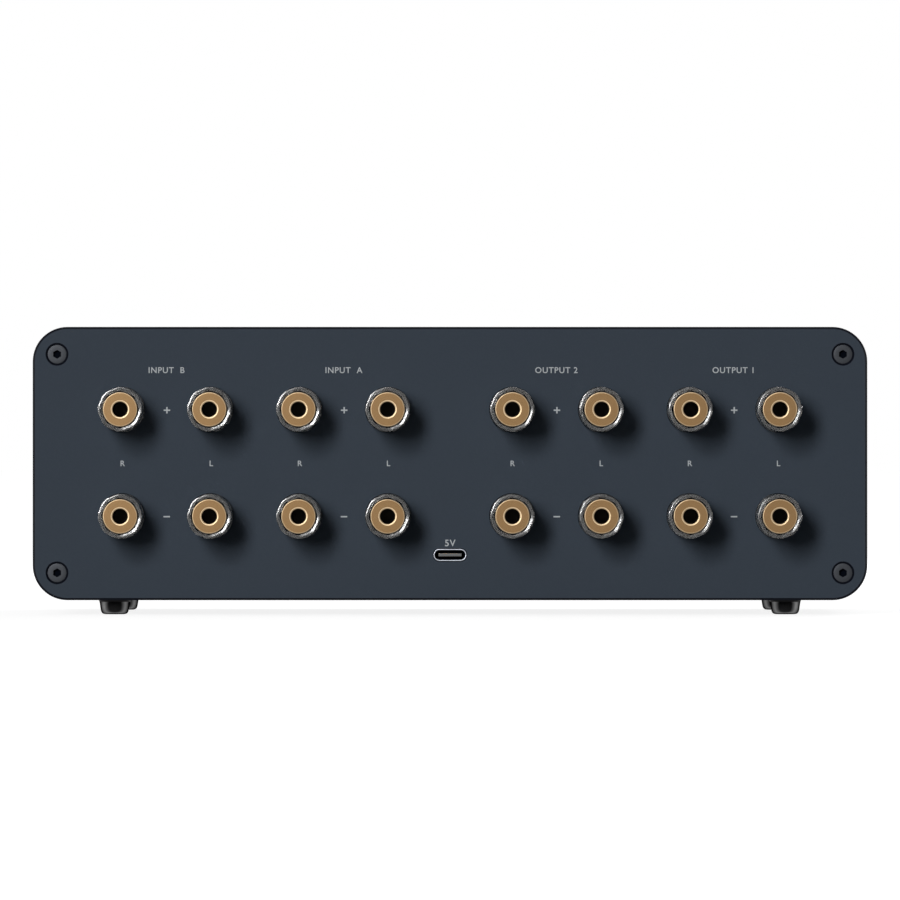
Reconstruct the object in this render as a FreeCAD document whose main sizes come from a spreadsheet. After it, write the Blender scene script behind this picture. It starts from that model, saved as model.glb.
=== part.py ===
import FreeCAD, Part
import math
import os
import re
import Sketcher

# A desktop box that switches two stereo amplifiers between two pairs of loudspeakers.
# The back carries sixteen binding posts and a 5 volt inlet, the front two level meters
# and two selector knobs. +Z is up, +X runs along the case and +Y points out of the back.
# The origin is on the table, under the middle of the whole object. Lengths are millimetres.

SIZES = {
    "case_width": 226.0,
    "case_height": 74.0,
    "case_depth": 130.0,
    "corner_radius": 9.4,
    "sleeve_wall": 2.5,
    "front_thickness": 4.0,
    "rear_thickness": 3.0,
    "panel_chamfer": 0.4,
    "fit_gap": 0.05,
    "assembly_gap": 0.3,
    # countersunk panel screws
    "screw_inset_side": 6.6,
    "screw_inset_edge": 7.4,
    "screw_radius": 1.5,
    "screw_head_radius": 2.6,
    "screw_head_height": 1.2,
    "screw_sink": 0.5,
    "screw_length": 12.0,
    "screw_socket_flats": 2.0,
    "screw_socket_depth": 1.2,
    "screw_port_wall": 2.6,
    # push-in rubber feet
    "foot_height": 4.0,
    "foot_top_radius": 4.4,
    "foot_base_radius": 3.5,
    "foot_round": 0.8,
    "foot_neck_radius": 2.0,
    "foot_barb_radius": 2.7,
    "foot_barb_height": 2.4,
    "foot_inset_side": 21.8,
    "foot_inset_end": 16.5,
    # binding posts
    "post_spacing": 24.0,
    "post_middle_gap": 33.6,
    "post_row_height": 22.8,
    "post_row_spacing": 28.8,
    "collar_radius": 6.2,
    "collar_height": 3.0,
    "collar_chamfer": 0.4,
    "collar_neck_flats": 8.0,
    "collar_neck_reach": 1.2,
    "stem_radius": 3.0,
    "stem_flange_radius": 4.4,
    "stem_flange_height": 1.0,
    "stem_tail": 1.2,
    "socket_radius": 2.0,
    "socket_depth": 15.5,
    "wire_hole_radius": 1.5,
    "fixing_nut_flats": 10.0,
    "fixing_nut_height": 2.6,
    "cap_reach": 21.0,
    "cap_radius": 4.65,
    "cap_face": 1.2,
    "cap_chamfer": 0.35,
    "cap_hole_radius": 2.15,
    "cap_mouth_radius": 2.6,
    "grip_radius": 6.0,
    "grip_setback": 1.2,
    "grip_skirt_gap": 0.3,
    "grip_chamfer": 0.35,
    "grip_rim_width": 0.1,
    "grip_dish_depth": 0.3,
    # inlet for 5 volts
    "inlet_height": 12.25,
    "inlet_width": 8.94,
    "inlet_thickness": 3.26,
    "inlet_shell_wall": 0.3,
    "inlet_length": 7.35,
    "tongue_width": 6.3,
    "tongue_thickness": 0.8,
    "tongue_setback": 0.8,
    "inlet_base_length": 2.0,
    "inlet_board_width": 16.0,
    "inlet_board_length": 14.0,
    # circuit boards and what they carry
    "board_thickness": 1.6,
    "rear_board_margin": 8.4,
    "relay_width": 29.0,
    "relay_height": 12.7,
    "relay_depth": 15.7,
    "ribbon_width": 12.7,
    "ribbon_thickness": 1.0,
    "ribbon_bend": 5.0,
    "ribbon_drop": 11.0,
    "plug_width": 18.0,
    "plug_height": 6.0,
    "plug_depth": 9.0,
    # level meters
    "meter_gap": 5.0,
    "window_width": 56.0,
    "window_height": 40.0,
    "window_corner": 2.0,
    "pane_overlap": 2.0,
    "pane_thickness": 2.0,
    "meter_wall": 1.5,
    "meter_depth": 20.0,
    "dial_setback": 6.0,
    "dial_thickness": 0.8,
    "needle_length": 26.0,
    "needle_tail": 5.0,
    "needle_width": 0.7,
    "needle_tip_width": 0.35,
    "needle_thickness": 0.4,
    "needle_hub_radius": 2.4,
    "needle_hub_height": 1.4,
    "needle_staff_radius": 0.6,
    "needle_rest_angle": 42.0,
    "movement_radius": 8.0,
    "movement_neck_radius": 4.8,
    "movement_floor_gap": 1.0,
    "movement_bore_radius": 0.9,
    "movement_bore_depth": 3.0,
    # selector knobs and their switches
    "knob_inset": 23.0,
    "knob_radius": 12.0,
    "knob_length": 15.0,
    "knob_gap": 1.0,
    "knob_recess_radius": 8.5,
    "knob_recess_depth": 3.5,
    "knob_chamfer": 0.8,
    "knob_mark_width": 1.0,
    "knob_mark_depth": 0.6,
    "knob_mark_start": 5.0,
    "knob_bore_depth": 11.0,
    "shaft_radius": 3.0,
    "shaft_inner_length": 8.0,
    "bushing_radius": 4.5,
    "bushing_reach": 3.0,
    "bushing_nut_flats": 12.0,
    "bushing_nut_height": 2.0,
    "switch_radius": 12.0,
    "amplifier_rest_angle": 30.0,
}

V = FreeCAD.Vector
WORDS = re.compile(r"\b[a-z_]+\b")

doc = FreeCAD.newDocument("AmplifierAndSpeakerSelector")
sheet = doc.addObject("Spreadsheet::Sheet", "Sizes")
for row, (alias, number) in enumerate(SIZES.items(), start=1):
    sheet.set(f"A{row}", alias)
    sheet.set(f"B{row}", str(number))
    sheet.setAlias(f"B{row}", alias)
doc.recompute()


def bound(text):
    """An expression in which every size's name points at its cell of the sheet."""
    return WORDS.sub(lambda m: f"Sizes.{m.group()}" if m.group() in SIZES else m.group(), text)


def number_of(text):
    """The present value of an expression."""
    return float(sheet.evalExpression(bound(text)))


# Planes and places that several pieces share, all measured in the object's own frame
REAR_FACE = "((case_depth + knob_gap + knob_length - cap_reach) / 2)"
FRONT_FACE = f"({REAR_FACE} - case_depth)"
FRONT_INSIDE = f"({FRONT_FACE} + front_thickness)"
REAR_INSIDE = f"({REAR_FACE} - rear_thickness)"
CASE_MIDDLE = f"({REAR_FACE} - case_depth / 2)"
CASE_CENTRE = "(foot_height + case_height / 2)"
REAR_BOARD_FACE = "(rear_thickness + collar_neck_reach)"
REAR_BOARD_BACK = f"({REAR_BOARD_FACE} + board_thickness)"
FRONT_BOARD_FACE = "(meter_depth + assembly_gap)"
FRONT_BOARD_BACK = f"({FRONT_BOARD_FACE} + board_thickness)"
INNER_COLUMN = "(post_middle_gap / 2)"
SCREW_X = "(case_width / 2 - screw_inset_side)"
SCREW_Z = "(case_height / 2 - screw_inset_edge)"
NUT_TAIL = f"({REAR_BOARD_BACK} + fixing_nut_height)"
CAP_SEAT = "(collar_height + stem_flange_height + fit_gap)"
STEM_TIP = "(cap_reach - cap_face - fit_gap)"
METER_X = "(window_width / 2 + pane_overlap + meter_wall + meter_gap / 2)"
PIVOT_Z = "(movement_radius + movement_floor_gap - window_height / 2 - pane_overlap)"
KNOB_X = "(case_width / 2 - knob_inset)"
FOOT_X = "(case_width / 2 - foot_inset_side)"
FOOT_Y = "(case_depth / 2 - foot_inset_end)"
PORT_REACH = "(screw_radius + screw_port_wall)"
POST_Z = "(foot_height + post_row_height)"
INLET_Z = "(foot_height + inlet_height)"
WIRE_HOLE = f"({CAP_SEAT} + wire_hole_radius + assembly_gap)"


def place(body, x="0", y="0", z="0", axis=None, angle="0"):
    """Ties a body's place to the sheet, with a turn about one axis where it has one."""
    if axis:
        body.Placement = FreeCAD.Placement(V(), FreeCAD.Rotation(axis, number_of(angle)))
        body.setExpression("Placement.Rotation.Angle", bound(angle))
    for letter, text in zip("xyz", (x, y, z)):
        body.setExpression(f"Placement.Base.{letter}", bound(text))


def new_body(label, **where):
    """A sub-part: a body that may hold several equal solids."""
    body = doc.addObject("PartDesign::Body", label)
    body.Label = label
    body.AllowCompound = True
    place(body, **where)
    return body


def origin_of(body, role):
    """One of the body's own planes or axes."""
    return next(f for f in body.Origin.OriginFeatures if f.Role == role)


def new_sketch(body, plane, across="0", up="0", out="0"):
    """A sketch parallel to one of the body's planes, out along the axis that the plane lacks."""
    sketch = body.newObject("Sketcher::SketchObject", "Sketch")
    sketch.AttachmentSupport = (origin_of(body, plane), [""])
    sketch.MapMode = "FlatFace"
    outward = f"-({out})" if plane == "XZ_Plane" else out
    for letter, text in zip("xyz", (across, up, outward)):
        sketch.setExpression(f"AttachmentOffset.Base.{letter}", bound(text))
    return sketch


def pin_point(sketch, curve, point, x, y):
    """Holds a point of a curve at a place given by two expressions."""
    for kind, text in (("DistanceX", x), ("DistanceY", y)):
        rule = Sketcher.Constraint(kind, -1, 1, curve, point, number_of(text))
        sketch.setExpression(f"Constraints[{sketch.addConstraint(rule)}]", bound(text))


def pin_radius(sketch, curve, radius):
    """Holds the radius of a circle or arc."""
    rule = Sketcher.Constraint("Radius", curve, number_of(radius))
    sketch.setExpression(f"Constraints[{sketch.addConstraint(rule)}]", bound(radius))


def outline(sketch, corners):
    """A closed outline of straight lines through corners given as pairs of expressions."""
    first = sketch.GeometryCount
    spots = [V(number_of(x), number_of(y), 0) for x, y in corners]
    for start, end in zip(spots, spots[1:] + spots[:1]):
        sketch.addGeometry(Part.LineSegment(start, end), False)
    for index, (x, y) in enumerate(corners):
        line, following = first + index, first + (index + 1) % len(corners)
        sketch.addConstraint(Sketcher.Constraint("Coincident", line, 2, following, 1))
        pin_point(sketch, line, 1, x, y)


def rectangle(sketch, width, height):
    """A rectangle round the sketch's origin."""
    x, y = f"({width}) / 2", f"({height}) / 2"
    outline(sketch, [(f"-{x}", f"-{y}"), (x, f"-{y}"), (x, y), (f"-{x}", y)])


def circle(sketch, radius, x="0", y="0"):
    """A circle whose centre is given by two expressions."""
    centre = V(number_of(x), number_of(y), 0)
    index = sketch.addGeometry(Part.Circle(centre, V(0, 0, 1), number_of(radius)), False)
    pin_point(sketch, index, 3, x, y)
    pin_radius(sketch, index, radius)


def polygon(sketch, sides, across_flats, turn=0.0):
    """A regular polygon round the sketch's origin, its first corner turned by some degrees."""
    reach = f"({across_flats}) / 2 / {math.cos(math.pi / sides):.9f}"
    angles = [math.radians(turn + 360 * index / sides) for index in range(sides)]
    outline(
        sketch,
        [(f"{reach} * ({math.cos(a):.9f})", f"{reach} * ({math.sin(a):.9f})") for a in angles],
    )


def finish(body, feature):
    """Makes a feature the body's tip and works it out."""
    body.Tip = feature
    doc.recompute()
    return feature


def extrude(body, kind, sketch, length, backwards=False):
    """A pad or pocket along the sketch's normal, or backwards; XZ_Plane's points to -Y."""
    before = body.Tip.Shape.Volume if body.Tip else 0.0
    feature = body.newObject(f"PartDesign::{kind}", kind)
    feature.Profile = sketch
    feature.setExpression("Length", bound(length))
    feature.Reversed = backwards == (kind == "Pad")
    finish(body, feature)
    check_change(body, feature, before, kind == "Pad")
    return feature


def pad(body, sketch, length, backwards=False):
    return extrude(body, "Pad", sketch, length, backwards)


def pocket(body, sketch, length, backwards=False):
    return extrude(body, "Pocket", sketch, length, backwards)


def revolve(body, sketch, kind="Revolution"):
    """Turns a profile about its sketch's upright axis."""
    before = body.Tip.Shape.Volume if body.Tip else 0.0
    feature = body.newObject(f"PartDesign::{kind}", kind)
    feature.Profile = sketch
    feature.ReferenceAxis = (sketch, ["V_Axis"])
    feature.Angle = 360
    finish(body, feature)
    check_change(body, feature, before, kind == "Revolution")
    return feature


def check_change(body, feature, before, adds):
    """Stops the build where a feature adds or cuts nothing."""
    after = feature.Shape.Volume
    if after <= before if adds else after >= before:
        raise RuntimeError(f"{body.Label}: {feature.Label} changed nothing")


# How near an edge's direction (as a cosine) or level (in mm) has to be to count as the one asked for
SAME_WAY = 0.999
SAME_LEVEL = 1e-4


def edges_of(feature, wanted):
    """The names of the edges for which wanted is true."""
    return [f"Edge{n}" for n, e in enumerate(feature.Shape.Edges, start=1) if wanted(e)]


def is_straight(edge):
    return edge.Curve.TypeId == "Part::GeomLine"


def along(letter):
    """A test for straight edges that run along one axis."""

    def wanted(edge):
        way = edge.tangentAt(edge.FirstParameter)
        return is_straight(edge) and abs(getattr(way, letter)) > SAME_WAY

    return wanted


def at_height(letter, text):
    """A test for edges that lie in one plane across an axis."""
    level = number_of(text)

    def wanted(edge):
        box = edge.BoundBox
        low, high = getattr(box, f"{letter.upper()}Min"), getattr(box, f"{letter.upper()}Max")
        return abs(low - level) < SAME_LEVEL and abs(high - level) < SAME_LEVEL

    return wanted


def dress(body, kind, size, wanted):
    """A fillet or chamfer on the edges of the tip for which wanted is true."""
    base = body.Tip
    feature = body.newObject(f"PartDesign::{kind}", kind)
    feature.Base = (base, edges_of(base, wanted))
    feature.setExpression("Radius" if kind == "Fillet" else "Size", bound(size))
    return finish(body, feature)


def repeat(body, features, steps):
    """Copies features by a chain of steps: ("mirror", plane) or ("line", axis, pitch, count)."""
    chain = body.newObject("PartDesign::MultiTransform", "Copies")
    chain.Originals = features
    parts = []
    for step in steps:
        if step[0] == "mirror":
            move = body.newObject("PartDesign::Mirrored", "Mirror")
            move.MirrorPlane = (origin_of(body, step[1]), [""])
        else:
            move = body.newObject("PartDesign::LinearPattern", "Line")
            move.Direction = (origin_of(body, step[1]), [""])
            move.Mode = "Spacing"
            move.setExpression("Offset", bound(step[2]))
            move.Occurrences = step[3]
        parts.append(move)
    chain.Transformations = parts
    return finish(body, chain)


FOUR_CORNERS = [("mirror", "YZ_Plane"), ("mirror", "XY_Plane")]
LEFT_AND_RIGHT = [("mirror", "YZ_Plane")]
POST_GRID = [
    ("line", "X_Axis", "post_spacing", 4),
    ("line", "Z_Axis", "post_row_spacing", 2),
    ("mirror", "YZ_Plane"),
]


def plate(body, width, height, thickness, out="0"):
    """A plate across Y whose near face is out along Y."""
    sketch = new_sketch(body, "XZ_Plane", out=out)
    rectangle(sketch, width, height)
    return pad(body, sketch, thickness, backwards=True)


def turned(body, profile, kind="Revolution", x="0", z="0"):
    """A solid or cut of revolution about a line along Y, from (radius, y) corners."""
    sketch = new_sketch(body, "XY_Plane", across=x, out=z)
    outline(sketch, profile)
    return revolve(body, sketch, kind)


def build_housing():
    """The extruded sleeve: a long tube with a screw port in each corner."""
    body = new_body("housing", y=FRONT_INSIDE, z=CASE_CENTRE)
    length = "case_depth - front_thickness - rear_thickness"
    plate(body, "case_width", "case_height", length)
    dress(body, "Fillet", "corner_radius", along("y"))
    wide, high = "(case_width / 2 - sleeve_wall)", "(case_height / 2 - sleeve_wall)"
    narrow, low = f"({SCREW_X} - {PORT_REACH})", f"({SCREW_Z} - {PORT_REACH})"
    quarter = [(narrow, high), (narrow, low), (wide, low)]
    right = quarter + [(x, f"-{z}") for x, z in reversed(quarter)]
    left = [(f"-{x}", z) for x, z in reversed(right)]
    cavity = new_sketch(body, "XZ_Plane")
    outline(cavity, right + left)
    pocket(body, cavity, length, backwards=True)
    port_hole = new_sketch(body, "XZ_Plane")
    circle(port_hole, "screw_radius + fit_gap", SCREW_X, SCREW_Z)
    drilled = pocket(body, port_hole, length, backwards=True)
    repeat(body, [drilled], FOUR_CORNERS)
    foot_hole = new_sketch(body, "XY_Plane", out="-case_height / 2")
    first_foot = f"{CASE_MIDDLE} - {FRONT_INSIDE} - {FOOT_Y}"
    circle(foot_hole, "foot_neck_radius + fit_gap", FOOT_X, first_foot)
    punched = pocket(body, foot_hole, "sleeve_wall")
    repeat(body, [punched], [("mirror", "YZ_Plane"), ("line", "Y_Axis", f"2 * {FOOT_Y}", 2)])


def cut_screw_seats(body, inward, thickness):
    """Countersunk clearance holes in the corners of a panel whose face is at the origin."""
    opening = "screw_head_radius + screw_sink + fit_gap"
    shank = "screw_radius + fit_gap"
    cone_end = f"{inward} * (screw_sink + screw_head_height)"
    inside = f"{inward} * {thickness}"
    profile = [("0", "0"), (opening, "0"), (shank, cone_end), (shank, inside), ("0", inside)]
    seat = turned(body, profile, "Groove", SCREW_X, SCREW_Z)
    repeat(body, [seat], FOUR_CORNERS)


def build_rear_panel():
    """The back plate, with the holes for sixteen posts, the inlet and four screws."""
    body = new_body("rear_panel", y=REAR_FACE, z=CASE_CENTRE)
    plate(body, "case_width", "case_height", "rear_thickness", out="-rear_thickness")
    dress(body, "Fillet", "corner_radius", along("y"))
    dress(body, "Chamfer", "panel_chamfer", at_height("y", "0"))
    cut_screw_seats(body, -1, "rear_thickness")
    hole = new_sketch(body, "XZ_Plane", across=INNER_COLUMN, up=f"{POST_Z} - {CASE_CENTRE}")
    polygon(hole, 6, "collar_neck_flats + 2 * fit_gap")
    repeat(body, [pocket(body, hole, "rear_thickness")], POST_GRID)
    slot = new_sketch(body, "XZ_Plane", up=f"{INLET_Z} - {CASE_CENTRE}")
    obround(slot, "inlet_width + 2 * fit_gap", "inlet_thickness + 2 * fit_gap")
    pocket(body, slot, "rear_thickness")


def rounded(sketch, width, height, radius):
    """A rectangle with round corners, round the sketch's origin."""
    x, y = f"(({width}) / 2 - ({radius}))", f"(({height}) / 2 - ({radius}))"
    corners = [(x, y), (f"-{x}", y), (f"-{x}", f"-{y}"), (x, f"-{y}")]
    r = number_of(radius)
    first = sketch.GeometryCount
    arcs = []
    for index, corner in enumerate(corners):
        centre = V(*[number_of(text) for text in corner], 0)
        start = index * math.pi / 2
        arcs.append(Part.ArcOfCircle(Part.Circle(centre, V(0, 0, 1), r), start, start + math.pi / 2))
    for arc, following in zip(arcs, arcs[1:] + arcs[:1]):
        sketch.addGeometry(arc, False)
        sketch.addGeometry(Part.LineSegment(arc.EndPoint, following.StartPoint), False)
    count = 2 * len(corners)
    for index in range(count):
        following = first + (index + 1) % count
        sketch.addConstraint(Sketcher.Constraint("Tangent", first + index, 2, following, 1))
    for index, (across, up) in enumerate(corners):
        pin_point(sketch, first + 2 * index, 3, across, up)
        if index:
            sketch.addConstraint(Sketcher.Constraint("Equal", first, first + 2 * index))
    pin_radius(sketch, first, radius)


def obround(sketch, width, height):
    """A slot outline with round ends, round the sketch's origin."""
    radius, half = f"(({height}) / 2)", f"((({width}) - ({height})) / 2)"
    r, x = number_of(radius), number_of(half)
    up = V(0, 0, 1)
    right = Part.ArcOfCircle(Part.Circle(V(x, 0, 0), up, r), -math.pi / 2, math.pi / 2)
    left = Part.ArcOfCircle(Part.Circle(V(-x, 0, 0), up, r), math.pi / 2, 3 * math.pi / 2)
    first = sketch.GeometryCount
    sketch.addGeometry(right, False)
    sketch.addGeometry(Part.LineSegment(V(x, r, 0), V(-x, r, 0)), False)
    sketch.addGeometry(left, False)
    sketch.addGeometry(Part.LineSegment(V(-x, -r, 0), V(x, -r, 0)), False)
    for index in range(4):
        following = first + (index + 1) % 4
        sketch.addConstraint(Sketcher.Constraint("Tangent", first + index, 2, following, 1))
    sketch.addConstraint(Sketcher.Constraint("Equal", first, first + 2))
    pin_point(sketch, first, 3, half, "0")
    pin_point(sketch, first + 2, 3, f"-{half}", "0")
    pin_radius(sketch, first, radius)


def build_front_panel():
    """The front plate, with two meter windows, their rebates and two switch holes."""
    body = new_body("front_panel", y=FRONT_FACE, z=CASE_CENTRE)
    plate(body, "case_width", "case_height", "front_thickness")
    dress(body, "Fillet", "corner_radius", along("y"))
    dress(body, "Chamfer", "panel_chamfer", at_height("y", "0"))
    cut_screw_seats(body, 1, "front_thickness")
    window = new_sketch(body, "XZ_Plane", across=METER_X)
    rounded(window, "window_width", "window_height", "window_corner")
    opening = pocket(body, window, "front_thickness", backwards=True)
    rebate = new_sketch(body, "XZ_Plane", across=METER_X, out="front_thickness")
    margin = "2 * (pane_overlap + fit_gap)"
    rectangle(rebate, f"window_width + {margin}", f"window_height + {margin}")
    shelf = pocket(body, rebate, "pane_thickness + fit_gap")
    hole = new_sketch(body, "XZ_Plane")
    circle(hole, "bushing_radius + fit_gap", KNOB_X)
    switch_hole = pocket(body, hole, "front_thickness", backwards=True)
    repeat(body, [opening, shelf, switch_hole], LEFT_AND_RIGHT)


def build_panel_screws():
    """Eight equal countersunk screws with hexagon sockets, four in each panel."""
    body = new_body("panel_screws", y=CASE_MIDDLE, z=CASE_CENTRE)
    face = "case_depth / 2 - screw_sink"
    profile = [
        ("0", face),
        ("screw_head_radius", face),
        ("screw_radius", f"{face} - screw_head_height"),
        ("screw_radius", f"{face} - screw_length"),
        ("0", f"{face} - screw_length"),
    ]
    screw = turned(body, profile, x=SCREW_X, z=SCREW_Z)
    socket = new_sketch(body, "XZ_Plane", across=SCREW_X, up=SCREW_Z, out=face)
    polygon(socket, 6, "screw_socket_flats", turn=90)
    recess = pocket(body, socket, "screw_socket_depth")
    repeat(body, [screw, recess], FOUR_CORNERS + [("mirror", "XZ_Plane")])


def build_feet():
    """Four tapered rubber feet whose barbed necks push through the sleeve's floor."""
    body = new_body("feet", y=CASE_MIDDLE)
    sketch = new_sketch(body, "XZ_Plane", across=FOOT_X, out=f"-{FOOT_Y}")
    floor = "(foot_height + sleeve_wall)"
    outline(
        sketch,
        [
            ("0", "0"),
            ("foot_base_radius - foot_round", "0"),
            ("foot_base_radius", "foot_round"),
            ("foot_top_radius", "foot_height"),
            ("foot_neck_radius", "foot_height"),
            ("foot_neck_radius", f"{floor} + fit_gap"),
            ("foot_barb_radius", f"{floor} + fit_gap"),
            ("foot_neck_radius", f"{floor} + foot_barb_height"),
            ("0", f"{floor} + foot_barb_height"),
        ],
    )
    foot = revolve(body, sketch)
    repeat(body, [foot], [("mirror", "YZ_Plane"), ("mirror", "XZ_Plane")])


def build_post_collars():
    """Sixteen insulating collars, whose hexagonal necks keep them from turning in the panel."""
    body = new_body("post_collars", y=REAR_FACE, z=POST_Z)
    hole = "stem_radius + fit_gap"
    profile = [
        (hole, "0"),
        ("collar_radius", "0"),
        ("collar_radius", "collar_height - collar_chamfer"),
        ("collar_radius - collar_chamfer", "collar_height"),
        (hole, "collar_height"),
    ]
    ring = turned(body, profile, x=INNER_COLUMN)
    neck_sketch = new_sketch(body, "XZ_Plane", across=INNER_COLUMN)
    polygon(neck_sketch, 6, "collar_neck_flats")
    circle(neck_sketch, hole)
    neck = pad(body, neck_sketch, REAR_BOARD_FACE)
    repeat(body, [ring, neck], POST_GRID)


def build_post_stems():
    """Sixteen hollow stems with a flange, a plug socket and a hole across for bare wire."""
    body = new_body("post_stems", y=REAR_FACE, z=POST_Z)
    tail = f"-({NUT_TAIL} + stem_tail)"
    floor = f"{STEM_TIP} - socket_depth"
    profile = [
        ("0", tail),
        ("stem_radius", tail),
        ("stem_radius", "collar_height"),
        ("stem_flange_radius", "collar_height"),
        ("stem_flange_radius", "collar_height + stem_flange_height"),
        ("stem_radius", "collar_height + stem_flange_height"),
        ("stem_radius", STEM_TIP),
        ("socket_radius", STEM_TIP),
        ("socket_radius", floor),
        ("0", floor),
    ]
    stem = turned(body, profile, x=INNER_COLUMN)
    across = new_sketch(body, "XY_Plane", across=INNER_COLUMN, up=WIRE_HOLE, out="-stem_radius")
    circle(across, "wire_hole_radius")
    wire_hole = pocket(body, across, "2 * stem_radius")
    repeat(body, [stem, wire_hole], POST_GRID)


def build_post_fixing_nuts():
    """Sixteen hexagon nuts that pull the posts and the rear board against the panel."""
    body = new_body("post_fixing_nuts", y=REAR_FACE, z=POST_Z)
    sketch = new_sketch(body, "XZ_Plane", across=INNER_COLUMN, out=f"-{REAR_BOARD_BACK}")
    polygon(sketch, 6, "fixing_nut_flats")
    circle(sketch, "stem_radius + fit_gap")
    repeat(body, [pad(body, sketch, "fixing_nut_height")], POST_GRID)


def build_cap_sleeve(label, x, z):
    """The gold sleeve of one cap: threaded on the stem, with a lipped face for the plug."""
    body = new_body(label, x=x, y=REAR_FACE, z=z)
    bore = "stem_radius + fit_gap"
    inside = "cap_reach - cap_face"
    profile = [
        (bore, CAP_SEAT),
        ("cap_radius", CAP_SEAT),
        ("cap_radius", "cap_reach - cap_chamfer"),
        ("cap_radius - cap_chamfer", "cap_reach"),
        ("cap_mouth_radius", "cap_reach"),
        ("cap_hole_radius", inside),
        (bore, inside),
    ]
    turned(body, profile)


GRIP_SIDES = 16


def build_cap_grip(label, x, z):
    """The clear faceted grip of one cap, round its gold sleeve."""
    body = new_body(label, x=x, y=REAR_FACE, z=z)
    start, end = "(collar_height + grip_skirt_gap)", "(cap_reach - grip_setback)"
    sketch = new_sketch(body, "XZ_Plane", out=start)
    polygon(sketch, GRIP_SIDES, "2 * grip_radius")
    circle(sketch, "cap_radius + fit_gap")
    pad(body, sketch, f"{end} - {start}", backwards=True)
    for level in (start, end):
        rim = at_height("y", level)
        dress(body, "Chamfer", "grip_chamfer", lambda edge: is_straight(edge) and rim(edge))
    dish_edge, dish_floor = "grip_radius - grip_chamfer - grip_rim_width", f"{end} - grip_dish_depth"
    dish = [("0", end), (dish_edge, end), ("cap_radius", dish_floor), ("0", dish_floor)]
    turned(body, dish, "Groove")


COLUMN_NAMES = {
    1: ["amp_a_left", "amp_a_right", "amp_b_left", "amp_b_right"],
    -1: ["speaker_2_right", "speaker_2_left", "speaker_1_right", "speaker_1_left"],
}
ROW_NAMES = ["minus", "plus"]


def post_places():
    """Each post's name with its X and Z, the columns counted outwards from the middle."""
    for side, columns in COLUMN_NAMES.items():
        for step, column in enumerate(columns):
            for row, pole in enumerate(ROW_NAMES):
                x = f"{side} * ({INNER_COLUMN} + {step} * post_spacing)"
                yield f"{column}_{pole}", x, f"{POST_Z} + {row} * post_row_spacing"


def build_caps():
    for name, x, z in post_places():
        build_cap_sleeve(f"{name}_sleeve", x, z)
        build_cap_grip(f"{name}_grip", x, z)


def build_inlet():
    """The 5 volt inlet: a metal shell, the plastic tongue inside it and its small board."""
    shell = new_body("inlet_shell", y=REAR_FACE, z=INLET_Z)
    wall = new_sketch(shell, "XZ_Plane")
    obround(wall, "inlet_width", "inlet_thickness")
    inner = ["inlet_width - 2 * inlet_shell_wall", "inlet_thickness - 2 * inlet_shell_wall"]
    obround(wall, *inner)
    pad(shell, wall, "inlet_length")

    tongue = new_body("inlet_tongue", y=REAR_FACE, z=INLET_Z)
    base = new_sketch(tongue, "XZ_Plane", out="-inlet_length")
    obround(base, *[f"{size} - 2 * fit_gap" for size in inner])
    pad(tongue, base, "inlet_base_length", backwards=True)
    blade = new_sketch(tongue, "XZ_Plane", out="-inlet_length + inlet_base_length")
    rectangle(blade, "tongue_width", "tongue_thickness")
    pad(tongue, blade, "inlet_length - inlet_base_length - tongue_setback", backwards=True)

    board = new_body("inlet_board", y=REAR_INSIDE, z=f"{INLET_Z} - inlet_thickness / 2")
    flat = new_sketch(board, "XY_Plane", up="-assembly_gap - inlet_board_length / 2")
    rectangle(flat, "inlet_board_width", "inlet_board_length")
    pad(board, flat, "board_thickness", backwards=True)


def build_rear_board():
    """The board behind the posts, which the fixing nuts clamp against the collars' necks."""
    body = new_body("rear_board", y=REAR_FACE, z="foot_height")
    low = "(inlet_height + inlet_thickness / 2 + assembly_gap)"
    high = "(post_row_height + post_row_spacing + rear_board_margin)"
    half_width = f"({INNER_COLUMN} + 3 * post_spacing + rear_board_margin)"
    face = f"-{REAR_BOARD_FACE}"
    sketch = new_sketch(body, "XZ_Plane", up=f"({low} + {high}) / 2", out=face)
    rectangle(sketch, f"2 * {half_width}", f"{high} - {low}")
    pad(body, sketch, "board_thickness")
    hole = new_sketch(body, "XZ_Plane", out=face)
    circle(hole, "stem_radius + fit_gap", INNER_COLUMN, "post_row_height")
    repeat(body, [pocket(body, hole, "board_thickness")], POST_GRID)


def build_relays():
    """Four two-pole relays between the rows of posts, one for each stereo pair of terminals."""
    body = new_body("relays", y=REAR_FACE, z=f"{POST_Z} + post_row_spacing / 2")
    first = f"{INNER_COLUMN} + post_spacing / 2"
    sketch = new_sketch(body, "XZ_Plane", across=first, out=f"-{REAR_BOARD_BACK}")
    rectangle(sketch, "relay_width", "relay_height")
    box = pad(body, sketch, "relay_depth")
    repeat(body, [box], [("line", "X_Axis", "2 * post_spacing", 2), ("mirror", "YZ_Plane")])


def build_front_board():
    """The board that the meters and the switches are soldered to."""
    body = new_body("front_board", y=FRONT_INSIDE, z=CASE_CENTRE)
    width = "case_width - 2 * sleeve_wall - 2 * assembly_gap"
    height = f"2 * ({SCREW_Z} - {PORT_REACH} - assembly_gap)"
    plate(body, width, height, "board_thickness", FRONT_BOARD_FACE)


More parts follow.
